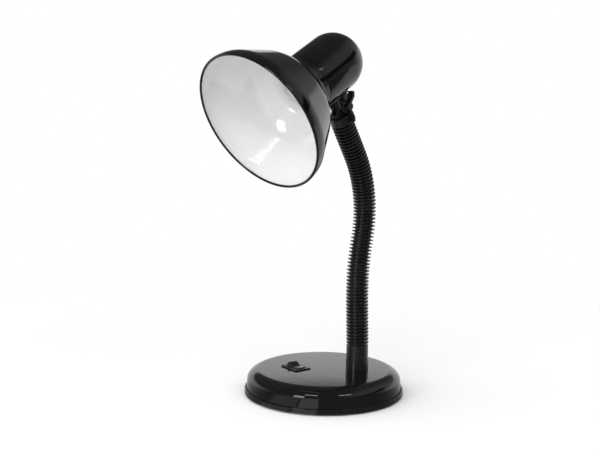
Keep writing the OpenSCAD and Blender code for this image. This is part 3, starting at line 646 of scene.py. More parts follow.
BASE_GLOSS = gloss_finish("base_gloss", *ENAMEL_TONES, 0.05, 0.13, 150, 0.00002, dust=0.12)
TRAY_GLOSS = gloss_finish("tray_gloss", *MOULDED_TONES, 0.12, 0.25, 220, 0.00002)
BELL_ENAMEL = gloss_finish("bell_black_enamel", *ENAMEL_TONES, 0.06, 0.15, 190, 0.00003, dust=0.12)
CAP_ENAMEL = gloss_finish("cap_black_enamel", *ENAMEL_TONES, 0.05, 0.12, 230, 0.00002, dust=0.12)
BELL_WHITE = gloss_finish("bell_white_enamel", (0.87, 0.87, 0.885), (0.8, 0.8, 0.79), 0.12, 0.24, 85, 0.0003,
                          dust=0.05, rub=0.1, coat=1.0)
PAINTED_METAL = gloss_finish("painted_metal", (0.01, 0.01, 0.011), (0.06, 0.06, 0.06), 0.18, 0.34, 320, 0.00003)
SLEEVE_PLASTIC = satin_finish("sleeve_plastic", (0.005, 0.005, 0.0055), (0.02, 0.02, 0.022), 0.22, 0.34, 1800,
                              0.00002, dust=0.12, rub=0.4)
MOULDED_BLACK = satin_finish("moulded_black", *MOULDED_TONES, 0.28, 0.42, 2400, 0.00003)
ROCKER_BLACK = satin_finish("rocker_black", *MOULDED_TONES, 0.2, 0.32, 2600, 0.00001)
HOLDER_WHITE = satin_finish("holder_white", (0.78, 0.78, 0.75), (0.84, 0.84, 0.82), 0.35, 0.5, 1500, 0.00002,
                            dust=0.05, rub=0.2)
BLOCK_IVORY = satin_finish("block_ivory", (0.72, 0.7, 0.62), (0.8, 0.78, 0.72), 0.35, 0.5, 1500, 0.00002)
FOAM_BLACK = satin_finish("foam_black", (0.025, 0.025, 0.027), (0.06, 0.06, 0.062), 0.75, 0.9, 900, 0.0002)
GROMMET_RUBBER = satin_finish("grommet_rubber", (0.02, 0.02, 0.02), (0.05, 0.05, 0.05), 0.5, 0.65, 1200, 0.00003)
LEAD_COVER = satin_finish("lead_cover", (0.2, 0.045, 0.02), (0.3, 0.09, 0.05), 0.35, 0.5, 900, 0.00002)
LEAD_BLACK = satin_finish("lead_black", (0.014, 0.014, 0.015), (0.04, 0.04, 0.042), 0.35, 0.5, 900, 0.00002)
ZINC = metal_finish("zinc_steel", (0.62, 0.62, 0.63), (0.45, 0.45, 0.45), 0.25, 0.4, (500, 500, 3500), 0.00001)
CORE_STEEL = metal_finish("core_steel", (0.5, 0.5, 0.51), (0.35, 0.34, 0.33), 0.3, 0.45, (900, 900, 900), 0.00001)
BALLAST_STEEL = metal_finish("ballast_steel", (0.3, 0.3, 0.31), (0.2, 0.16, 0.13), 0.45, 0.65, (200, 2500, 200),
                             0.00004)
BRASS = metal_finish("brass", (0.78, 0.57, 0.26), (0.55, 0.38, 0.17), 0.22, 0.38, (400, 400, 2600), 0.00001)


def wear(piece, finish, body=None, replaces=()):
    """Gives a piece its finish and the body it rides on, and hides the solids it stands for."""
    piece.data.materials.clear()
    piece.data.materials.append(finish)
    if body:
        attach(piece, body)
    if replaces:
        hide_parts(*replaces)


# Base
def crowned(outline):
    """Lifts the middle of the base's top a little and lets it fall away towards the shoulder."""
    return [Vector((p.x, p.y + CROWN_RISE - CROWN_SAG * (p.x / CROWN_SPAN) ** 2)) for p in outline]


def make_base_cover():
    middle = (COVER_TOP_R - SHOULDER_RUN, BASE_H - SHOULDER_DROP)
    turns = [math.radians(90 * i / 40) for i in range(41)]

    def shoulder(inset, angles):
        return [Vector((middle[0] + (SHOULDER_RUN - inset) * math.cos(a),
                        middle[1] + (SHOULDER_DROP - inset) * math.sin(a))) for a in angles]

    outer = points((COVER_R, FLOOR_Z), (COVER_R - 0.02, FLOOR_Z + 0.3))
    top = points(*[(r, BASE_H) for r in range(int(middle[0]), -1, -3)], (0, BASE_H))
    outer += crowned(shoulder(0, turns) + top)
    under = BASE_H - COVER_WALL
    inner = points((0, under), (middle[0] / 2, under), (middle[0] - 0.2, under))
    inner = crowned(inner + shoulder(COVER_WALL, reversed(turns[::4])))
    inner += points((COVER_R - COVER_WALL, FLOOR_Z))
    cover = turned("cover_shell", outer + inner, None, segments=192)
    window = block("window_tool", (*SWITCH_HOLE, 3 * COVER_WALL), SWITCH, edge=0)
    hole = drill("stem_tool", STEM_HOLE_R, 15, 30, FOOT)
    inlet = drill("inlet_tool", INLET_HOLE_R, 0, 25, shift(0, 55, INLET_Z) @ spin(-90, "X"))
    joined(cover, [window, hole, inlet], "DIFFERENCE")
    wear(cover, BASE_GLOSS, "base", ["base_cover"])


def make_tray():
    wall = COVER_R + 0.15
    top = PAD_T + LIP_H
    corners = [(wall, FLOOR_Z, 0), (wall, top, 0.35), (LIP_R, top, 0.6), (LIP_R, PAD_T, 0.6), (0, PAD_T, 0)]
    tray = turned("tray_lip", softened(corners) + points((0, FLOOR_Z)), None, segments=192)
    wear(tray, TRAY_GLOSS, "base", ["base_tray"])


def make_foam_pad():
    r = LIP_R - PAD_INSET
    outline = softened([(0, 0, 0), (r, 0, 0.35), (r, PAD_T, 0.2), (0, PAD_T, 0)], steps=4)
    pad = turned("foam_ring_pad", outline, None, segments=128)
    wear(pad, FOAM_BLACK, "base", ["anti_slip_pad"])


def make_grommet():
    out_y, in_y = COVER_R, COVER_TOP_R - COVER_WALL - 1
    corners = [(INLET_R, in_y - 2, 0.4), (GROMMET_R, in_y - 2, 0.7), (GROMMET_R, in_y, 0.2),
               (GROMMET_GROOVE_R, in_y, 0.1), (GROMMET_GROOVE_R, out_y, 0.1), (GROMMET_R, out_y, 0.2),
               (GROMMET_R, out_y + 2, 0.8), (INLET_R, out_y + 2, 0.5)]
    side = shift(0, 0, INLET_Z) @ spin(-90, "X")
    grommet = turned("inlet_grommet", looped(corners), side, segments=64)
    wear(grommet, GROMMET_RUBBER, "base", ["cord_grommet"])


def make_switch():
    frame_plate = plate("switch_bezel", plate_outline(FLANGE[0], FLANGE[1], 1.0), FLANGE[2], SWITCH, edge=0.5,
                        edge_steps=4)
    body = block("switch_body_tool", (*SWITCH_BODY, SWITCH_DEPTH + 1), SWITCH @ shift(0, 0, (1 - SWITCH_DEPTH) / 2),
                 edge=0.4)
    joined(frame_plate, [body])
    pocket_h = SWITCH_DEPTH + BEZEL[2]
    pocket = block("switch_pocket_tool", (*WINDOW, pocket_h),
                   SWITCH @ shift(0, 0, pocket_h / 2 - SWITCH_DEPTH + POCKET_TOP), edge=0)
    joined(frame_plate, [pocket], "DIFFERENCE")
    wear(frame_plate, MOULDED_BLACK, "base", ["switch_housing"])

    tip = WINDOW[0] / 2 - 1.8
    low = math.sqrt(ROCKER_SWEEP_R ** 2 - ROCKER_SKIRT ** 2)
    side_top = math.sqrt(ROCKER_SWEEP_R ** 2 - 3.4 ** 2)
    corners = [(-low, -ROCKER_SKIRT, 0.3), (low, -ROCKER_SKIRT, 0.3), (ROCKER_SWEEP_R, 0, 6), (side_top, 3.4, 0.8),
               (tip, ROCKER_RISE, 0.5), (0, ROCKER_RISE - ROCKER_DIP, 8), (-tip, ROCKER_RISE, 0.5),
               (-side_top, 3.4, 0.8), (-ROCKER_SWEEP_R, 0, 6)]
    lie = (SWITCH @ shift(0, 0, ROCKER_PIVOT_Z) @ spin(ROCKER_TILT, "Y") @ spin(90, "X")
           @ shift(0, 0, -ROCKER_W / 2))
    rocker = plate("rocker_key", looped(corners, 5), ROCKER_W, lie, edge=0.55, edge_steps=4)
    wear(rocker, ROCKER_BLACK, "rocker", ["switch_rocker"])


# Neck
def lean_at(s):
    for (s0, a0), (s1, a1) in zip(LEAN_STOPS, LEAN_STOPS[1:]):
        if s <= s1:
            return a0 + (a1 - a0) * (s - s0) / (s1 - s0)
    return LEAN_STOPS[-1][1]


def heading(lean):
    return Vector((math.sin(math.radians(lean)), math.cos(math.radians(lean))))


LEANS = [lean_at(LINK_L * (i + 0.5)) for i in range(LINKS)]
JOINTS = [Vector((0, CHAIN_Z))]
for lean in LEANS:
    JOINTS.append(JOINTS[-1] + LINK_L * heading(lean))
END_LEAN = (LEANS[-1] + KNUCKLE_LEAN) / 2
COLLAR_AT = JOINTS[-1] + RIB_PITCH * heading(END_LEAN)
COLLAR_TOP = COLLAR_AT + COLLAR_L * heading(KNUCKLE_LEAN)
PIVOT_UZ = head_uz(PIVOT_S, PIVOT_DROP)


def stretch_of_neck(i):
    """The neck round joint i: straight before and after, eased round the joint. Gives point and lean at a distance
    from the joint, and how far the stretch runs before and after it."""
    before = 0.0 if i == 0 else LEANS[i - 1]
    after = LEANS[i] if i < LINKS else END_LEAN
    run_in = RIB_PITCH if i == 0 else LINK_L / 2
    run_out = LINK_L / 2 if i < LINKS else RIB_PITCH
    bend = min(run_in, run_out)
    corner = JOINTS[i]

    def axis(t):
        if t <= -bend:
            return corner + t * heading(before), before
        if t >= bend:
            return corner + t * heading(after), after
        w = (t + bend) / (2 * bend)
        a, b = corner - bend * heading(before), corner + bend * heading(after)
        p = a * (1 - w) ** 2 + corner * 2 * w * (1 - w) + b * w ** 2
        run = (corner - a) * (1 - w) + (b - corner) * w
        return p, math.degrees(math.atan2(run.x, run.y))

    return axis, run_in, run_out


def rings_along(axis, stations, sides):
    """Rings of the given radii round a stretch of the neck. Stations are (distance, radius, sideways shift)."""
    rings = []
    for t, r, shift in stations:
        (u, z), lean = axis(t)
        side = heading(lean + 90)
        ring = []
        for k in range(sides):
            a = 2 * math.pi * k / sides
            across = r * math.cos(a)
            ring.append(plane_point(u + across * side.x, z + across * side.y, shift + r * math.sin(a)))
        rings.append(ring)
    return rings


def rib_stations(low, high):
    """Outline of the ribs between two distances, each with eased crest and root."""
    count = round((high - low) / RIB_PITCH)
    foot, top = RIB_FOOT * RIB_PITCH / 2, RIB_TOP * RIB_PITCH / 2
    stations = []
    for k in range(count):
        c = low + (k + 0.5) * RIB_PITCH
        half = [(RIB_PITCH / 2, ROOT_R), (foot + 0.18, ROOT_R + 0.02), (foot - 0.04, ROOT_R + 0.25),
                (top + 0.06, CREST_R - 0.3), (top - 0.16, CREST_R - 0.04), (top - 0.36, CREST_R)]
        rows = [(c - t, r) for t, r in half] + [(c + t, r) for t, r in reversed(half)]
        stations += rows if k == count - 1 else rows[:-1]
    return stations


def spanning(piece, i, finish, nodes, run_in, run_out):
    wear(piece, finish, replaces=nodes)
    axis = stretch_of_neck(i)[0]
    (a, _), (b, _) = axis(-run_in), axis(run_out)
    plane_point(*a) * MM
    plane_point(*b) * MM
    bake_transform(piece)


def make_neck():
    for i in range(LINKS + 1):
        axis, run_in, run_out = stretch_of_neck(i)
        outer = [(t, r, 0) for t, r in rib_stations(-run_in, run_out)]
        inner = [(run_out, SLEEVE_BORE_R, 0), (0, SLEEVE_BORE_R, 0), (-run_in, SLEEVE_BORE_R, 0)]
        rings = rings_along(axis, outer + inner, 56)
        sleeve = lofted(f"ribbed_sleeve_{i:02d}", rings + [rings[0]], close_ends=False, sharp=50)
        nodes = ["neck_end"] if i == LINKS else [f"neck_link_{i + 1:02d}"]
        spanning(sleeve, i, SLEEVE_PLASTIC, nodes, run_in, run_out)

        low = -(RIB_PITCH + CUFF_H + SOCKET_H - 2.1) if i == 0 else -run_in
        high = run_out + COLLAR_L - 1 if i == LINKS else run_out
        coils = max(1, round((high - low) / COIL_L))
        coil = (high - low) / coils
        steel = [(low + (k + part) * coil, CORE_R - depth, 0) for k in range(coils) for part, depth in COIL_SHAPE]
        steel += [(high, CORE_R - COIL_SHAPE[0][1], 0)] + [(t, CORE_BORE_R, 0) for t in (high, 0, low)]
        rings = rings_along(axis, steel, 24)
        core = lofted(f"bending_core_{i:02d}", rings + [rings[0]], close_ends=False, sharp=60)
        spanning(core, i, CORE_STEEL, ["neck_core"], run_in, run_out)

        low = -(CHAIN_Z - BASE_H + 9) if i == 0 else -run_in
        high = 0.4 if i == LINKS else run_out
        for side, mark in ((-1, "a"), (1, "b")):
            stations = [(low + (high - low) * k / 6, WIRE_R, side * LEAD_Y) for k in range(7)]
            lead = lofted(f"neck_wire_{mark}_{i:02d}", rings_along(axis, stations, 10))
            spanning(lead, i, LEAD_COVER, ["neck_lead"], run_in, run_out)


def make_foot():
    stem_low = BASE_H - STEM_L
    corners = [(STEM_BORE_R, stem_low, 0.2), (STEM_R, stem_low, 0.3), (STEM_R, BASE_H, 0),
               (SOCKET_R, BASE_H, 0.25), (SOCKET_R, SOCKET_Z, 0.45), (CORE_R + 0.05, SOCKET_Z, 0),
               (CORE_R + 0.05, BASE_H + 2, 0), (STEM_BORE_R, BASE_H + 2, 0)]
    socket = turned("foot_socket", looped(corners, 5, 0.1), FOOT, 96)
    wear(socket, PAINTED_METAL, "base", ["neck_socket"])
    corners = [(SLEEVE_BORE_R, SOCKET_Z, 0), (CUFF_R, SOCKET_Z, 0.3), (CUFF_R, CUFF_Z - 0.68, 0.5),
               (ROOT_R, CUFF_Z - 0.68, 0.15), (ROOT_R, CUFF_Z, 0), (SLEEVE_BORE_R, CUFF_Z, 0)]
    cuff = turned("sleeve_cuff", looped(corners, 5, 0.1), FOOT, 96)
    wear(cuff, MOULDED_BLACK, "base", ["neck_cuff"])


# Knuckle and hinge
def make_knuckle():
    """A round collar with the hinge's flat tongue standing on it, grooved in front for the two wires."""
    bore = CORE_R + 0.05
    outline = softened([(0, COLLAR_L - 0.5, 0), (bore, COLLAR_L - 0.5, 0), (bore, 0, 0), (CREST_R, 0, 0.3),
                        (CREST_R, COLLAR_L, 1.1), (0, COLLAR_L, 0)], steps=5, guard=0.05)
    body = turned("knuckle_moulding", outline, at_lean(COLLAR_AT.x, COLLAR_AT.y, KNUCKLE_LEAN), 96, closed=False)
    foot = COLLAR_TOP.y - TONGUE_SEAT - PIVOT_UZ.y
    outline = points((-EYE_R - TONGUE_FLARE, foot), (EYE_R + TONGUE_FLARE, foot)) + arc((0, 0), EYE_R, 0, 180, 32)
    stand = axes(ALONG, Z_AXIS, -ACROSS, plane_point(PIVOT_UZ.x, PIVOT_UZ.y, TONGUE_T / 2))
    tongue = plate("tongue_tool", outline, TONGUE_T, stand, edge=0.5)
    joined(body, [tongue], sharp=40)
    groove_at = Vector((PIVOT_UZ.x - EYE_R, COLLAR_TOP.y + 6))
    groove = block("groove_tool", (GROOVE_W, GROOVE_W, 15), at_lean(groove_at.x, groove_at.y, 0), edge=0.5)
    channel_at = at_lean(COLLAR_TOP.x, COLLAR_TOP.y, KNUCKLE_LEAN) @ shift(-2.5, 0, 0)
    channel = block("channel_tool", (7, GROOVE_W, 3.2), channel_at, edge=0.4)
    joined(body, [groove, channel], "DIFFERENCE", sharp=40)
    wear(body, MOULDED_BLACK, "knuckle", ["knuckle"])


def make_knuckle_leads():
    groove_u = PIVOT_UZ.x - EYE_R + 1.05
    out = head_uz(LEAD_HOLE_S, CAP_R + BRACKET_T + 0.3)
    path = eased([JOINTS[-1] + 0.4 * heading(END_LEAN), COLLAR_TOP - 1.6 * heading(KNUCKLE_LEAN),
                  Vector((groove_u, COLLAR_TOP.y - 0.2)), Vector((groove_u, PIVOT_UZ.y + 0.5)), out])
    inside = head_uz(LEAD_HOLE_S, CAP_R - 4)
    path += [out.lerp(inside, 0.5), inside]
    for side, mark in ((-1, "a"), (1, "b")):
        line = [plane_point(p.x, p.y, side * LEAD_Y) for p in path]
        lead = lofted(f"hinge_wire_{mark}", wire_rings(line, WIRE_R))
        wear(lead, LEAD_BLACK, replaces=["knuckle_lead"])
        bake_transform(lead)


def make_bracket():
    outside = STRAP_R + BRACKET_T
    band = points((STRAP_R, STRAP_S), (outside, STRAP_S), (outside, STRAP_END_S), (STRAP_R, STRAP_END_S))
    strap = turned("bracket_strap", band, HEAD, 192)
    lay = HEAD @ shift(STRAP_R - 4, 0, (STRAP_S + STRAP_END_S) / 2) @ spin(90, "Y")
    stamp = plate("strap_tool", plate_outline(STRAP_END_S - STRAP_S, 2 * STRAP_HALF, 2), 8, lay, edge=0)
    joined(strap, [stamp], "INTERSECT")
    top = STRAP_R + 0.3
    low, high = PIVOT_S - EAR_R, PIVOT_S + EAR_R
    ear = points((top, low - 1.2), (top + 1.2, low - 0.25), (top + 2.6, low))
    ear += arc((PIVOT_DROP, PIVOT_S), EAR_R, -90, 90, 24)
    ear += points((top + 2.6, high), (top + 1.2, high - 0.1), (top, high - 0.3))
    ears = []
    for side in (-1, 1):
        stand = HEAD @ shift(0, side * (EAR_Y + EAR_T / 2) + EAR_T / 2, 0) @ spin(90, "X")
        ears.append(plate("ear_tool", ear, EAR_T, stand, edge=0.3))
    joined(strap, ears)
    wear(strap, PAINTED_METAL, "head", ["head_bracket"])


def make_bolt():
    grip = EAR_Y + EAR_T
    tip = grip + WASHER_L + HUB_L
    head = softened([(0, -grip - 2.9, 0), (2.4, -grip - 2.75, 3), (3.7, -grip - 1.6, 0.9), (3.9, -grip, 0.15),
                     (BOLT_R, -grip, 0)], steps=5, guard=0.05)
    shank = points((BOLT_R, tip - 1.5), (BOLT_R - 0.4, tip - 1), (0, tip - 1))
    bolt = turned("hinge_screw", head + shank, HINGE, 48, closed=False)
    wear(bolt, ZINC, "head", ["hinge_bolt"])


def make_wing_nut():
    hub = looped([(BOLT_R + 0.05, 0, 0), (HUB_R, 0, 0.3), (HUB_R - 0.25, HUB_L, 0.9), (0, HUB_L, 0),
                  (0, HUB_L - 0.8, 0), (BOLT_R + 0.05, HUB_L - 0.8, 0)])
    at_hub = HINGE @ shift(0, 0, HUB_Y)
    nut = turned("wing_nut_body", hub, at_hub, 48)
    wings = []
    for turn in (0, 180):
        stand = at_hub @ spin(turn + WING_TURN, "Z") @ spin(90, "X")
        wing = plate("wing_tool", looped(WING_CORNERS, 5), WING_T, stand @ shift(0, 0, -WING_T / 2), edge=0.6,
                     edge_steps=4)
        for face in (-WING_T / 2 - 1.05, WING_T / 2 - 0.45):
            dish = plate("dish_tool", looped(DISH_CORNERS), 1.5, stand @ shift(0, 0, face), edge=0.3)
            joined(wing, [dish], "DIFFERENCE")
        wings.append(wing)
    joined(nut, wings, sharp=40)
    wear(nut, MOULDED_BLACK, "wing", ["wing_nut"])


# Head
def bell_outline(inset, steps=20):
    """The bell's section from rim to flange, moved inwards by inset. Only the outside flares to the cap's seat."""
    corners = [(RIM_R, BEAD_R, 0), (RIM_R - 0.1, BAND_H, BELL_ROUNDING[0]),
               (SHOULDER[0], SHOULDER[1], BELL_ROUNDING[1])]
    if inset:
        corners += [(BELL_NECK_R, BELL_NECK_S, BELL_ROUNDING[2]), (BELL_NECK_R, FLANGE_S, 0)]
    else:
        corners += [(BELL_SEAT_R, BELL_NECK_S, BELL_ROUNDING[2]), (BELL_SEAT_R, CAP_S - 0.3, 0.2),
                    (BELL_NECK_R, CAP_S - 0.25, 0.1), (BELL_NECK_R, FLANGE_S, 0)]
    pts = softened(corners, steps=steps, guard=0.4)
    if inset == 0:
        return pts
    moved = []
    for i, p in enumerate(pts):
        run = (pts[min(i + 1, len(pts) - 1)] - pts[max(i - 1, 0)]).normalized()
        moved.append(p + Vector((-run.y, run.x)) * inset)
    return moved


def make_bell():
    outer = bell_outline(0)
    inner = bell_outline(SHADE_T)
    hole = HOLDER_R + 0.3
    flange = points((hole, FLANGE_S), (hole, FLANGE_S - SHADE_T))
    inner = [p for p in inner if p.y < FLANGE_S - SHADE_T - 0.3]
    inner.append(Vector((inner[-1].x, FLANGE_S - SHADE_T)))
    bead = arc((RIM_R - BEAD_R, BEAD_R), BEAD_R, 180, 360, 16)
    outline = outer[1:] + flange + list(reversed(inner))[:-1] + bead
    bell = turned("bell_shell", outline, HEAD, 224, sharp=50)
    wear(bell, BELL_ENAMEL, "head", ["shade"])
    bell.data.materials.append(BELL_WHITE)
    inverse = HEAD.inverted()
    for face in bell.data.polygons:
        middle = inverse @ face.center
        outward = (inverse.to_3x3() @ face.normal)
        r = math.hypot(middle.x, middle.y)
        radial = (outward.x * middle.x + outward.y * middle.y) / max(r, 1e-9)
        inside = radial < -0.05 and middle.z > BLACK_EDGE * MM
        if inside or (outward.z < -0.5 and middle.z > UNDER_FLANGE_S * MM):
            face.material_index = 1


def make_cap():
    outer = points((CAP_R - 0.35, CAP_S), (CAP_R - 0.1, CAP_S + 0.1), (CAP_R, CAP_S + 0.4), (CAP_R, DOME_S - 1))
    outer += [p + Vector((0, DOME_S)) for p in arc((0, 0), CAP_R, 0, 90, 32)]
    outer[-1].x = 0
    inner = [p + Vector((0, DOME_S)) for p in arc((0, 0), CAP_R - CAP_T, 90, 0, 20)]
    inner[0].x = 0
    inner += points((CAP_R - CAP_T, CAP_S + 0.2), (CAP_R - CAP_T + 0.2, CAP_S))
    cap = turned("domed_cap", outer + inner, HEAD, 192)
    wear(cap, CAP_ENAMEL, "head", ["lamp_cap"])


def make_holder():
    ring_r = BELL_NECK_R - SHADE_T - 0.6
    low = FLANGE_S - SHADE_T - RING_L
    corners = [(HOLDER_R + 0.05, low, 0.4), (ring_r, low, 0.6), (ring_r, FLANGE_S - SHADE_T, 0.2),
               (HOLDER_R + 0.05, FLANGE_S - SHADE_T, 0)]
    ring = turned("clamp_ring", looped(corners), HEAD, 96)
    notches = []
    for k in range(12):
        spot = HEAD @ Matrix.Rotation(2 * math.pi * k / 12, 4, "Z") @ shift(ring_r + 0.3, 0, low)
        notches.append(block("notch_tool", (1.6, 2.2, 3.2), spot, edge=0.2))
    joined(ring, notches, "DIFFERENCE")
    wear(ring, HOLDER_WHITE, "head", ["shade_ring"])

    corners = [(SKIRT_BORE_R, SKIRT_S, 0.8), (HOLDER_R, SKIRT_S, 0.9), (HOLDER_R, FLANGE_S, 0),
               (SKIRT_FLANGE_R, FLANGE_S, 0.3), (SKIRT_FLANGE_R, FLANGE_S + 2, 0.3), (SKIRT_BORE_R, FLANGE_S + 2, 0)]
    skirt = turned("holder_collar", looped(corners, 5, 0.1), HEAD, 96)
    wear(skirt, HOLDER_WHITE, "head", ["holder_skirt"])


def make_screw_shell():
    """Rolled thread: a sheet whose radius rises and falls along a helix."""
    pitch, lift = 3.6, 0.42
    mean = SHELL_BORE_R + 0.12
    sides, rows = 72, 60
    bm = bmesh.new()
    skins = []
    for sheet in (0.0, 0.4):
        grid = []
        for j in range(rows + 1):
            s = SHELL_L * j / rows
            ease = min(1.0, s / 1.5, (SHELL_L - s) / 2.5)
            row = []
            for k in range(sides):
                a = 2 * math.pi * k / sides
                r = mean + sheet + lift * ease * math.cos(2 * math.pi * s / pitch - a) - lift * (1 - ease) * 0.3
                r = min(r, SHELL_BORE_R + 0.6)
                row.append(bm.verts.new(Vector((r * math.cos(a), r * math.sin(a), SHELL_S + s)) * MM))
            grid.append(row)
        skins.append(grid)
    inner, outer = skins
    for grid in skins:
        for a, b in zip(grid, grid[1:]):
            bridged(bm, a, b)
    for end in (0, -1):
        bridged(bm, inner[end], outer[end])
    shell = piece_from("thread_shell", bm, HEAD, 60)
    low, high = SHELL_S + SHELL_L - 0.6, SHELL_S + SHELL_L
    corners = [(6, low, 0.2), (SHELL_BORE_R, low, 0.2), (SHELL_BORE_R, high, 0.2), (6, high, 0.2)]
    floor = turned("shell_floor", looped(corners, 3), HEAD, 72)
    wear(shell, BRASS, "head", ["screw_shell"])
    wear(floor, BRASS, "head")


for make in (make_base_cover, make_tray, make_foam_pad, make_grommet, make_switch, make_foot, make_neck,
             make_knuckle, make_knuckle_leads, make_bracket, make_bolt, make_wing_nut, make_bell, make_cap,
             make_holder, make_screw_shell):
    make()

# Solids that keep their own shape
KEPT = {
    ZINC: ["base_screws", "neck_washer", "neck_nut", "bracket_screws", "hinge_washer"],
    BALLAST_STEEL: ["ballast"],
    BLOCK_IVORY: ["terminal_block"],
    BRASS: ["terminal_screws", "switch_terminals", "switch_blade", "centre_contact", "contact_screws"],
    LEAD_COVER: ["base_leads", "head_leads"],
    HOLDER_WHITE: ["holder_body"],
}
for finish, names in KEPT.items():
    for name in names:
        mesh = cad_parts[name].data
        mesh.materials.clear()
        mesh.materials.append(finish)

# Studio. Glossy rays see these colours of the floor and the room, with a dark batten in it.
FLOOR_NEAR, FLOOR_PANE, FLOOR_FAR = (0.16, 0.16, 0.165), (0.85, 0.85, 0.85), (0.92, 0.92, 0.92)
ROOM_FRONT, BACKDROP = (0.22, 0.22, 0.225), (1.0, 1.0, 1.0)
CEILING, CEILING_RIGHT = (0.12, 0.12, 0.125), (0.5, 0.5, 0.51)
BATTEN_TONE, BATTEN_ACROSS, BATTEN_TOWARD = (0.02, 0.02, 0.02), (0.331, 0.342, -0.88), (0.928, -0.278, 0.241)
# Diffuse rays get these from the floor and from the room's far and open side.
FLOOR_BOUNCE = (0.6, 0.6, 0.6)
FAR_SIDE, OPEN_SIDE, OPEN_TOWARD = (0.4, 0.4, 0.412), (1.5, 1.5, 1.5), (-0.6, -0.6, 0.53)
SENSOR_MM, FOCAL_PX, PHOTO_PX = 36, 1228, 600
CAMERA_RIGHT, CAMERA_UP = Vector((0.9997, 0.0225, 0.0093)), Vector((-0.0126, 0.1516, 0.9884))
CAMERA_AT = (0, -1054.8, 312.1)


def make_floor():
    bm = bmesh.new()
    bmesh.ops.create_circle(bm, cap_ends=True, segments=96, radius=6.0)
    floor = piece_from("studio_floor", bm)
    floor.data.transform(Matrix.Translation((0, 0, -0.0002)))
    material, tree, shader, where = finish_base("pale_floor", {"Roughness": 0.9, "Base Color": (0.97, 0.97, 0.97, 1)})
    length = tree.nodes.new("ShaderNodeVectorMath")
    length.operation = "LENGTH"
    tree.links.new(where, length.inputs[0])
    away = span_of(tree, length.outputs["Value"], 0.18, 0.75)
    glow = tree.nodes.new("ShaderNodeEmission")
    glow.inputs["Color"].default_value = (1, 1, 1, 1)
    path = tree.nodes.new("ShaderNodeLightPath")
    seen = math_of(tree, "MAXIMUM", path.outputs["Is Camera Ray"], path.outputs["Is Transmission Ray"])
    shown = shaders_mixed(tree, times(tree, away, seen), shader.outputs[0], glow.outputs[0])

    place = tree.nodes.new("ShaderNodeSeparateXYZ")
    tree.links.new(where, place.inputs[0])
    left = times(tree, place.outputs["X"], -1.0)
    front = times(tree, place.outputs["Y"], -1.0)
    angle = math_of(tree, "ARCTAN2", left, front)
    near_pane = times(tree, span_of(tree, angle, 0.085, 0.1), span_of(tree, angle, 0.43, 0.445, 1.0, 0.0))
    far_pane = times(tree, span_of(tree, angle, 0.47, 0.485), span_of(tree, angle, 0.9, 1.05, 0.5, 0.0))
    panes = math_of(tree, "MAXIMUM", near_pane, far_pane)
    ahead = mixed(tree, panes, FLOOR_NEAR, FLOOR_PANE)
    mirrored = mixed(tree, span_of(tree, place.outputs["Y"], -0.05, 0.1), ahead, FLOOR_FAR)
    bounce = mixed(tree, path.outputs["Is Glossy Ray"], FLOOR_BOUNCE, mirrored)
    given = tree.nodes.new("ShaderNodeEmission")
    tree.links.new(bounce, given.inputs["Color"])
    indirect = math_of(tree, "MAXIMUM", path.outputs["Is Glossy Ray"], path.outputs["Is Diffuse Ray"])
    surface = shaders_mixed(tree, indirect, shown, given.outputs[0])
    tree.links.new(surface, tree.nodes["Material Output"].inputs["Surface"])
    floor.data.materials.append(material)


def along(tree, direction, aim):
    """How far a direction points along aim."""
    n = tree.nodes.new("ShaderNodeVectorMath")
    n.operation = "DOT_PRODUCT"
    n.inputs[1].default_value = aim
    tree.links.new(direction, n.inputs[0])
    return n.outputs["Value"]


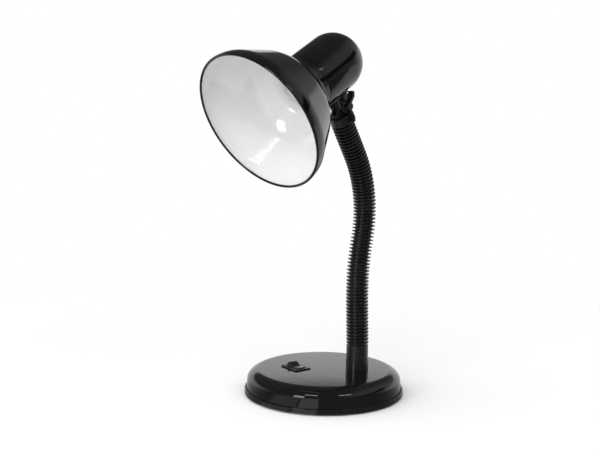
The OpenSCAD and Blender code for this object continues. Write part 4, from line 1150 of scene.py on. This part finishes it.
def make_world():
    world = bpy.data.worlds.new("studio")
    bpy.context.scene.world = world
    world.use_nodes = True
    tree = world.node_tree
    tree.nodes.clear()
    out = tree.nodes.new("ShaderNodeOutputWorld")
    path = tree.nodes.new("ShaderNodeLightPath")
    room = tree.nodes.new("ShaderNodeBackground")
    white = tree.nodes.new("ShaderNodeBackground")
    white.inputs["Color"].default_value = (1, 1, 1, 1)
    room.inputs["Strength"].default_value = 1.0
    direction = tree.nodes.new("ShaderNodeTexCoord").outputs["Generated"]
    parts = tree.nodes.new("ShaderNodeSeparateXYZ")
    tree.links.new(direction, parts.inputs[0])
    behind = span_of(tree, parts.outputs["Y"], -0.2, 0.6)
    above = span_of(tree, parts.outputs["Z"], 0.285, 0.37)
    walls = mixed(tree, behind, ROOM_FRONT, BACKDROP)
    right_side = span_of(tree, parts.outputs["X"], 0.3, 0.75)
    high = mixed(tree, right_side, CEILING, CEILING_RIGHT)
    mirrored = mixed(tree, above, walls, high)
    across, toward = along(tree, direction, BATTEN_ACROSS), along(tree, direction, BATTEN_TOWARD)
    off_line = math_of(tree, "ABSOLUTE", across)
    batten = times(tree, span_of(tree, off_line, 0.1, 0.115, 1.0, 0.0), span_of(tree, toward, 0.8, 0.82))
    mirrored = mixed(tree, batten, mirrored, BATTEN_TONE)
    open_side = span_of(tree, along(tree, direction, OPEN_TOWARD), -0.3, 1.0)
    falling = mixed(tree, open_side, FAR_SIDE, OPEN_SIDE)
    soft = mixed(tree, path.outputs["Is Glossy Ray"], falling, mirrored)
    tree.links.new(soft, room.inputs["Color"])
    seen = math_of(tree, "MAXIMUM", path.outputs["Is Camera Ray"], path.outputs["Is Transmission Ray"])
    tree.links.new(shaders_mixed(tree, seen, room.outputs[0], white.outputs[0]), out.inputs["Surface"])


def soft_light(name, at, aim, size, power):
    data = bpy.data.lights.new(name, "AREA")
    data.shape = "RECTANGLE"
    data.size, data.size_y = size
    data.energy = power
    lamp = added(name, data)
    lamp.location = at
    lamp.rotation_euler = (Vector(aim) - Vector(at)).to_track_quat("-Z", "Y").to_euler()


def make_lights():
    soft_light("window_left", (-1.3, -1.8, 0.6), (0, 0, 0.15), (0.6, 0.9), 9)
    soft_light("strip_left", (-0.55, -1.45, 1.5), (0, 0, 0.1), (0.6, 0.12), 3)
    soft_light("strip_right", (0.95, -1.25, 1.5), (0, 0, 0.1), (0.6, 0.12), 3)


def make_camera():
    data = bpy.data.cameras.new("camera")
    data.sensor_width = SENSOR_MM
    data.lens = SENSOR_MM * FOCAL_PX / PHOTO_PX
    camera = added("camera", data)
    camera.matrix_world = axes(CAMERA_RIGHT, CAMERA_UP, CAMERA_RIGHT.cross(CAMERA_UP), CAMERA_AT)
    data.clip_start, data.clip_end = 0.05, 30
    bpy.context.scene.camera = camera


make_floor()
make_world()
make_lights()
make_camera()
bpy.context.scene.view_settings.view_transform = "Standard"
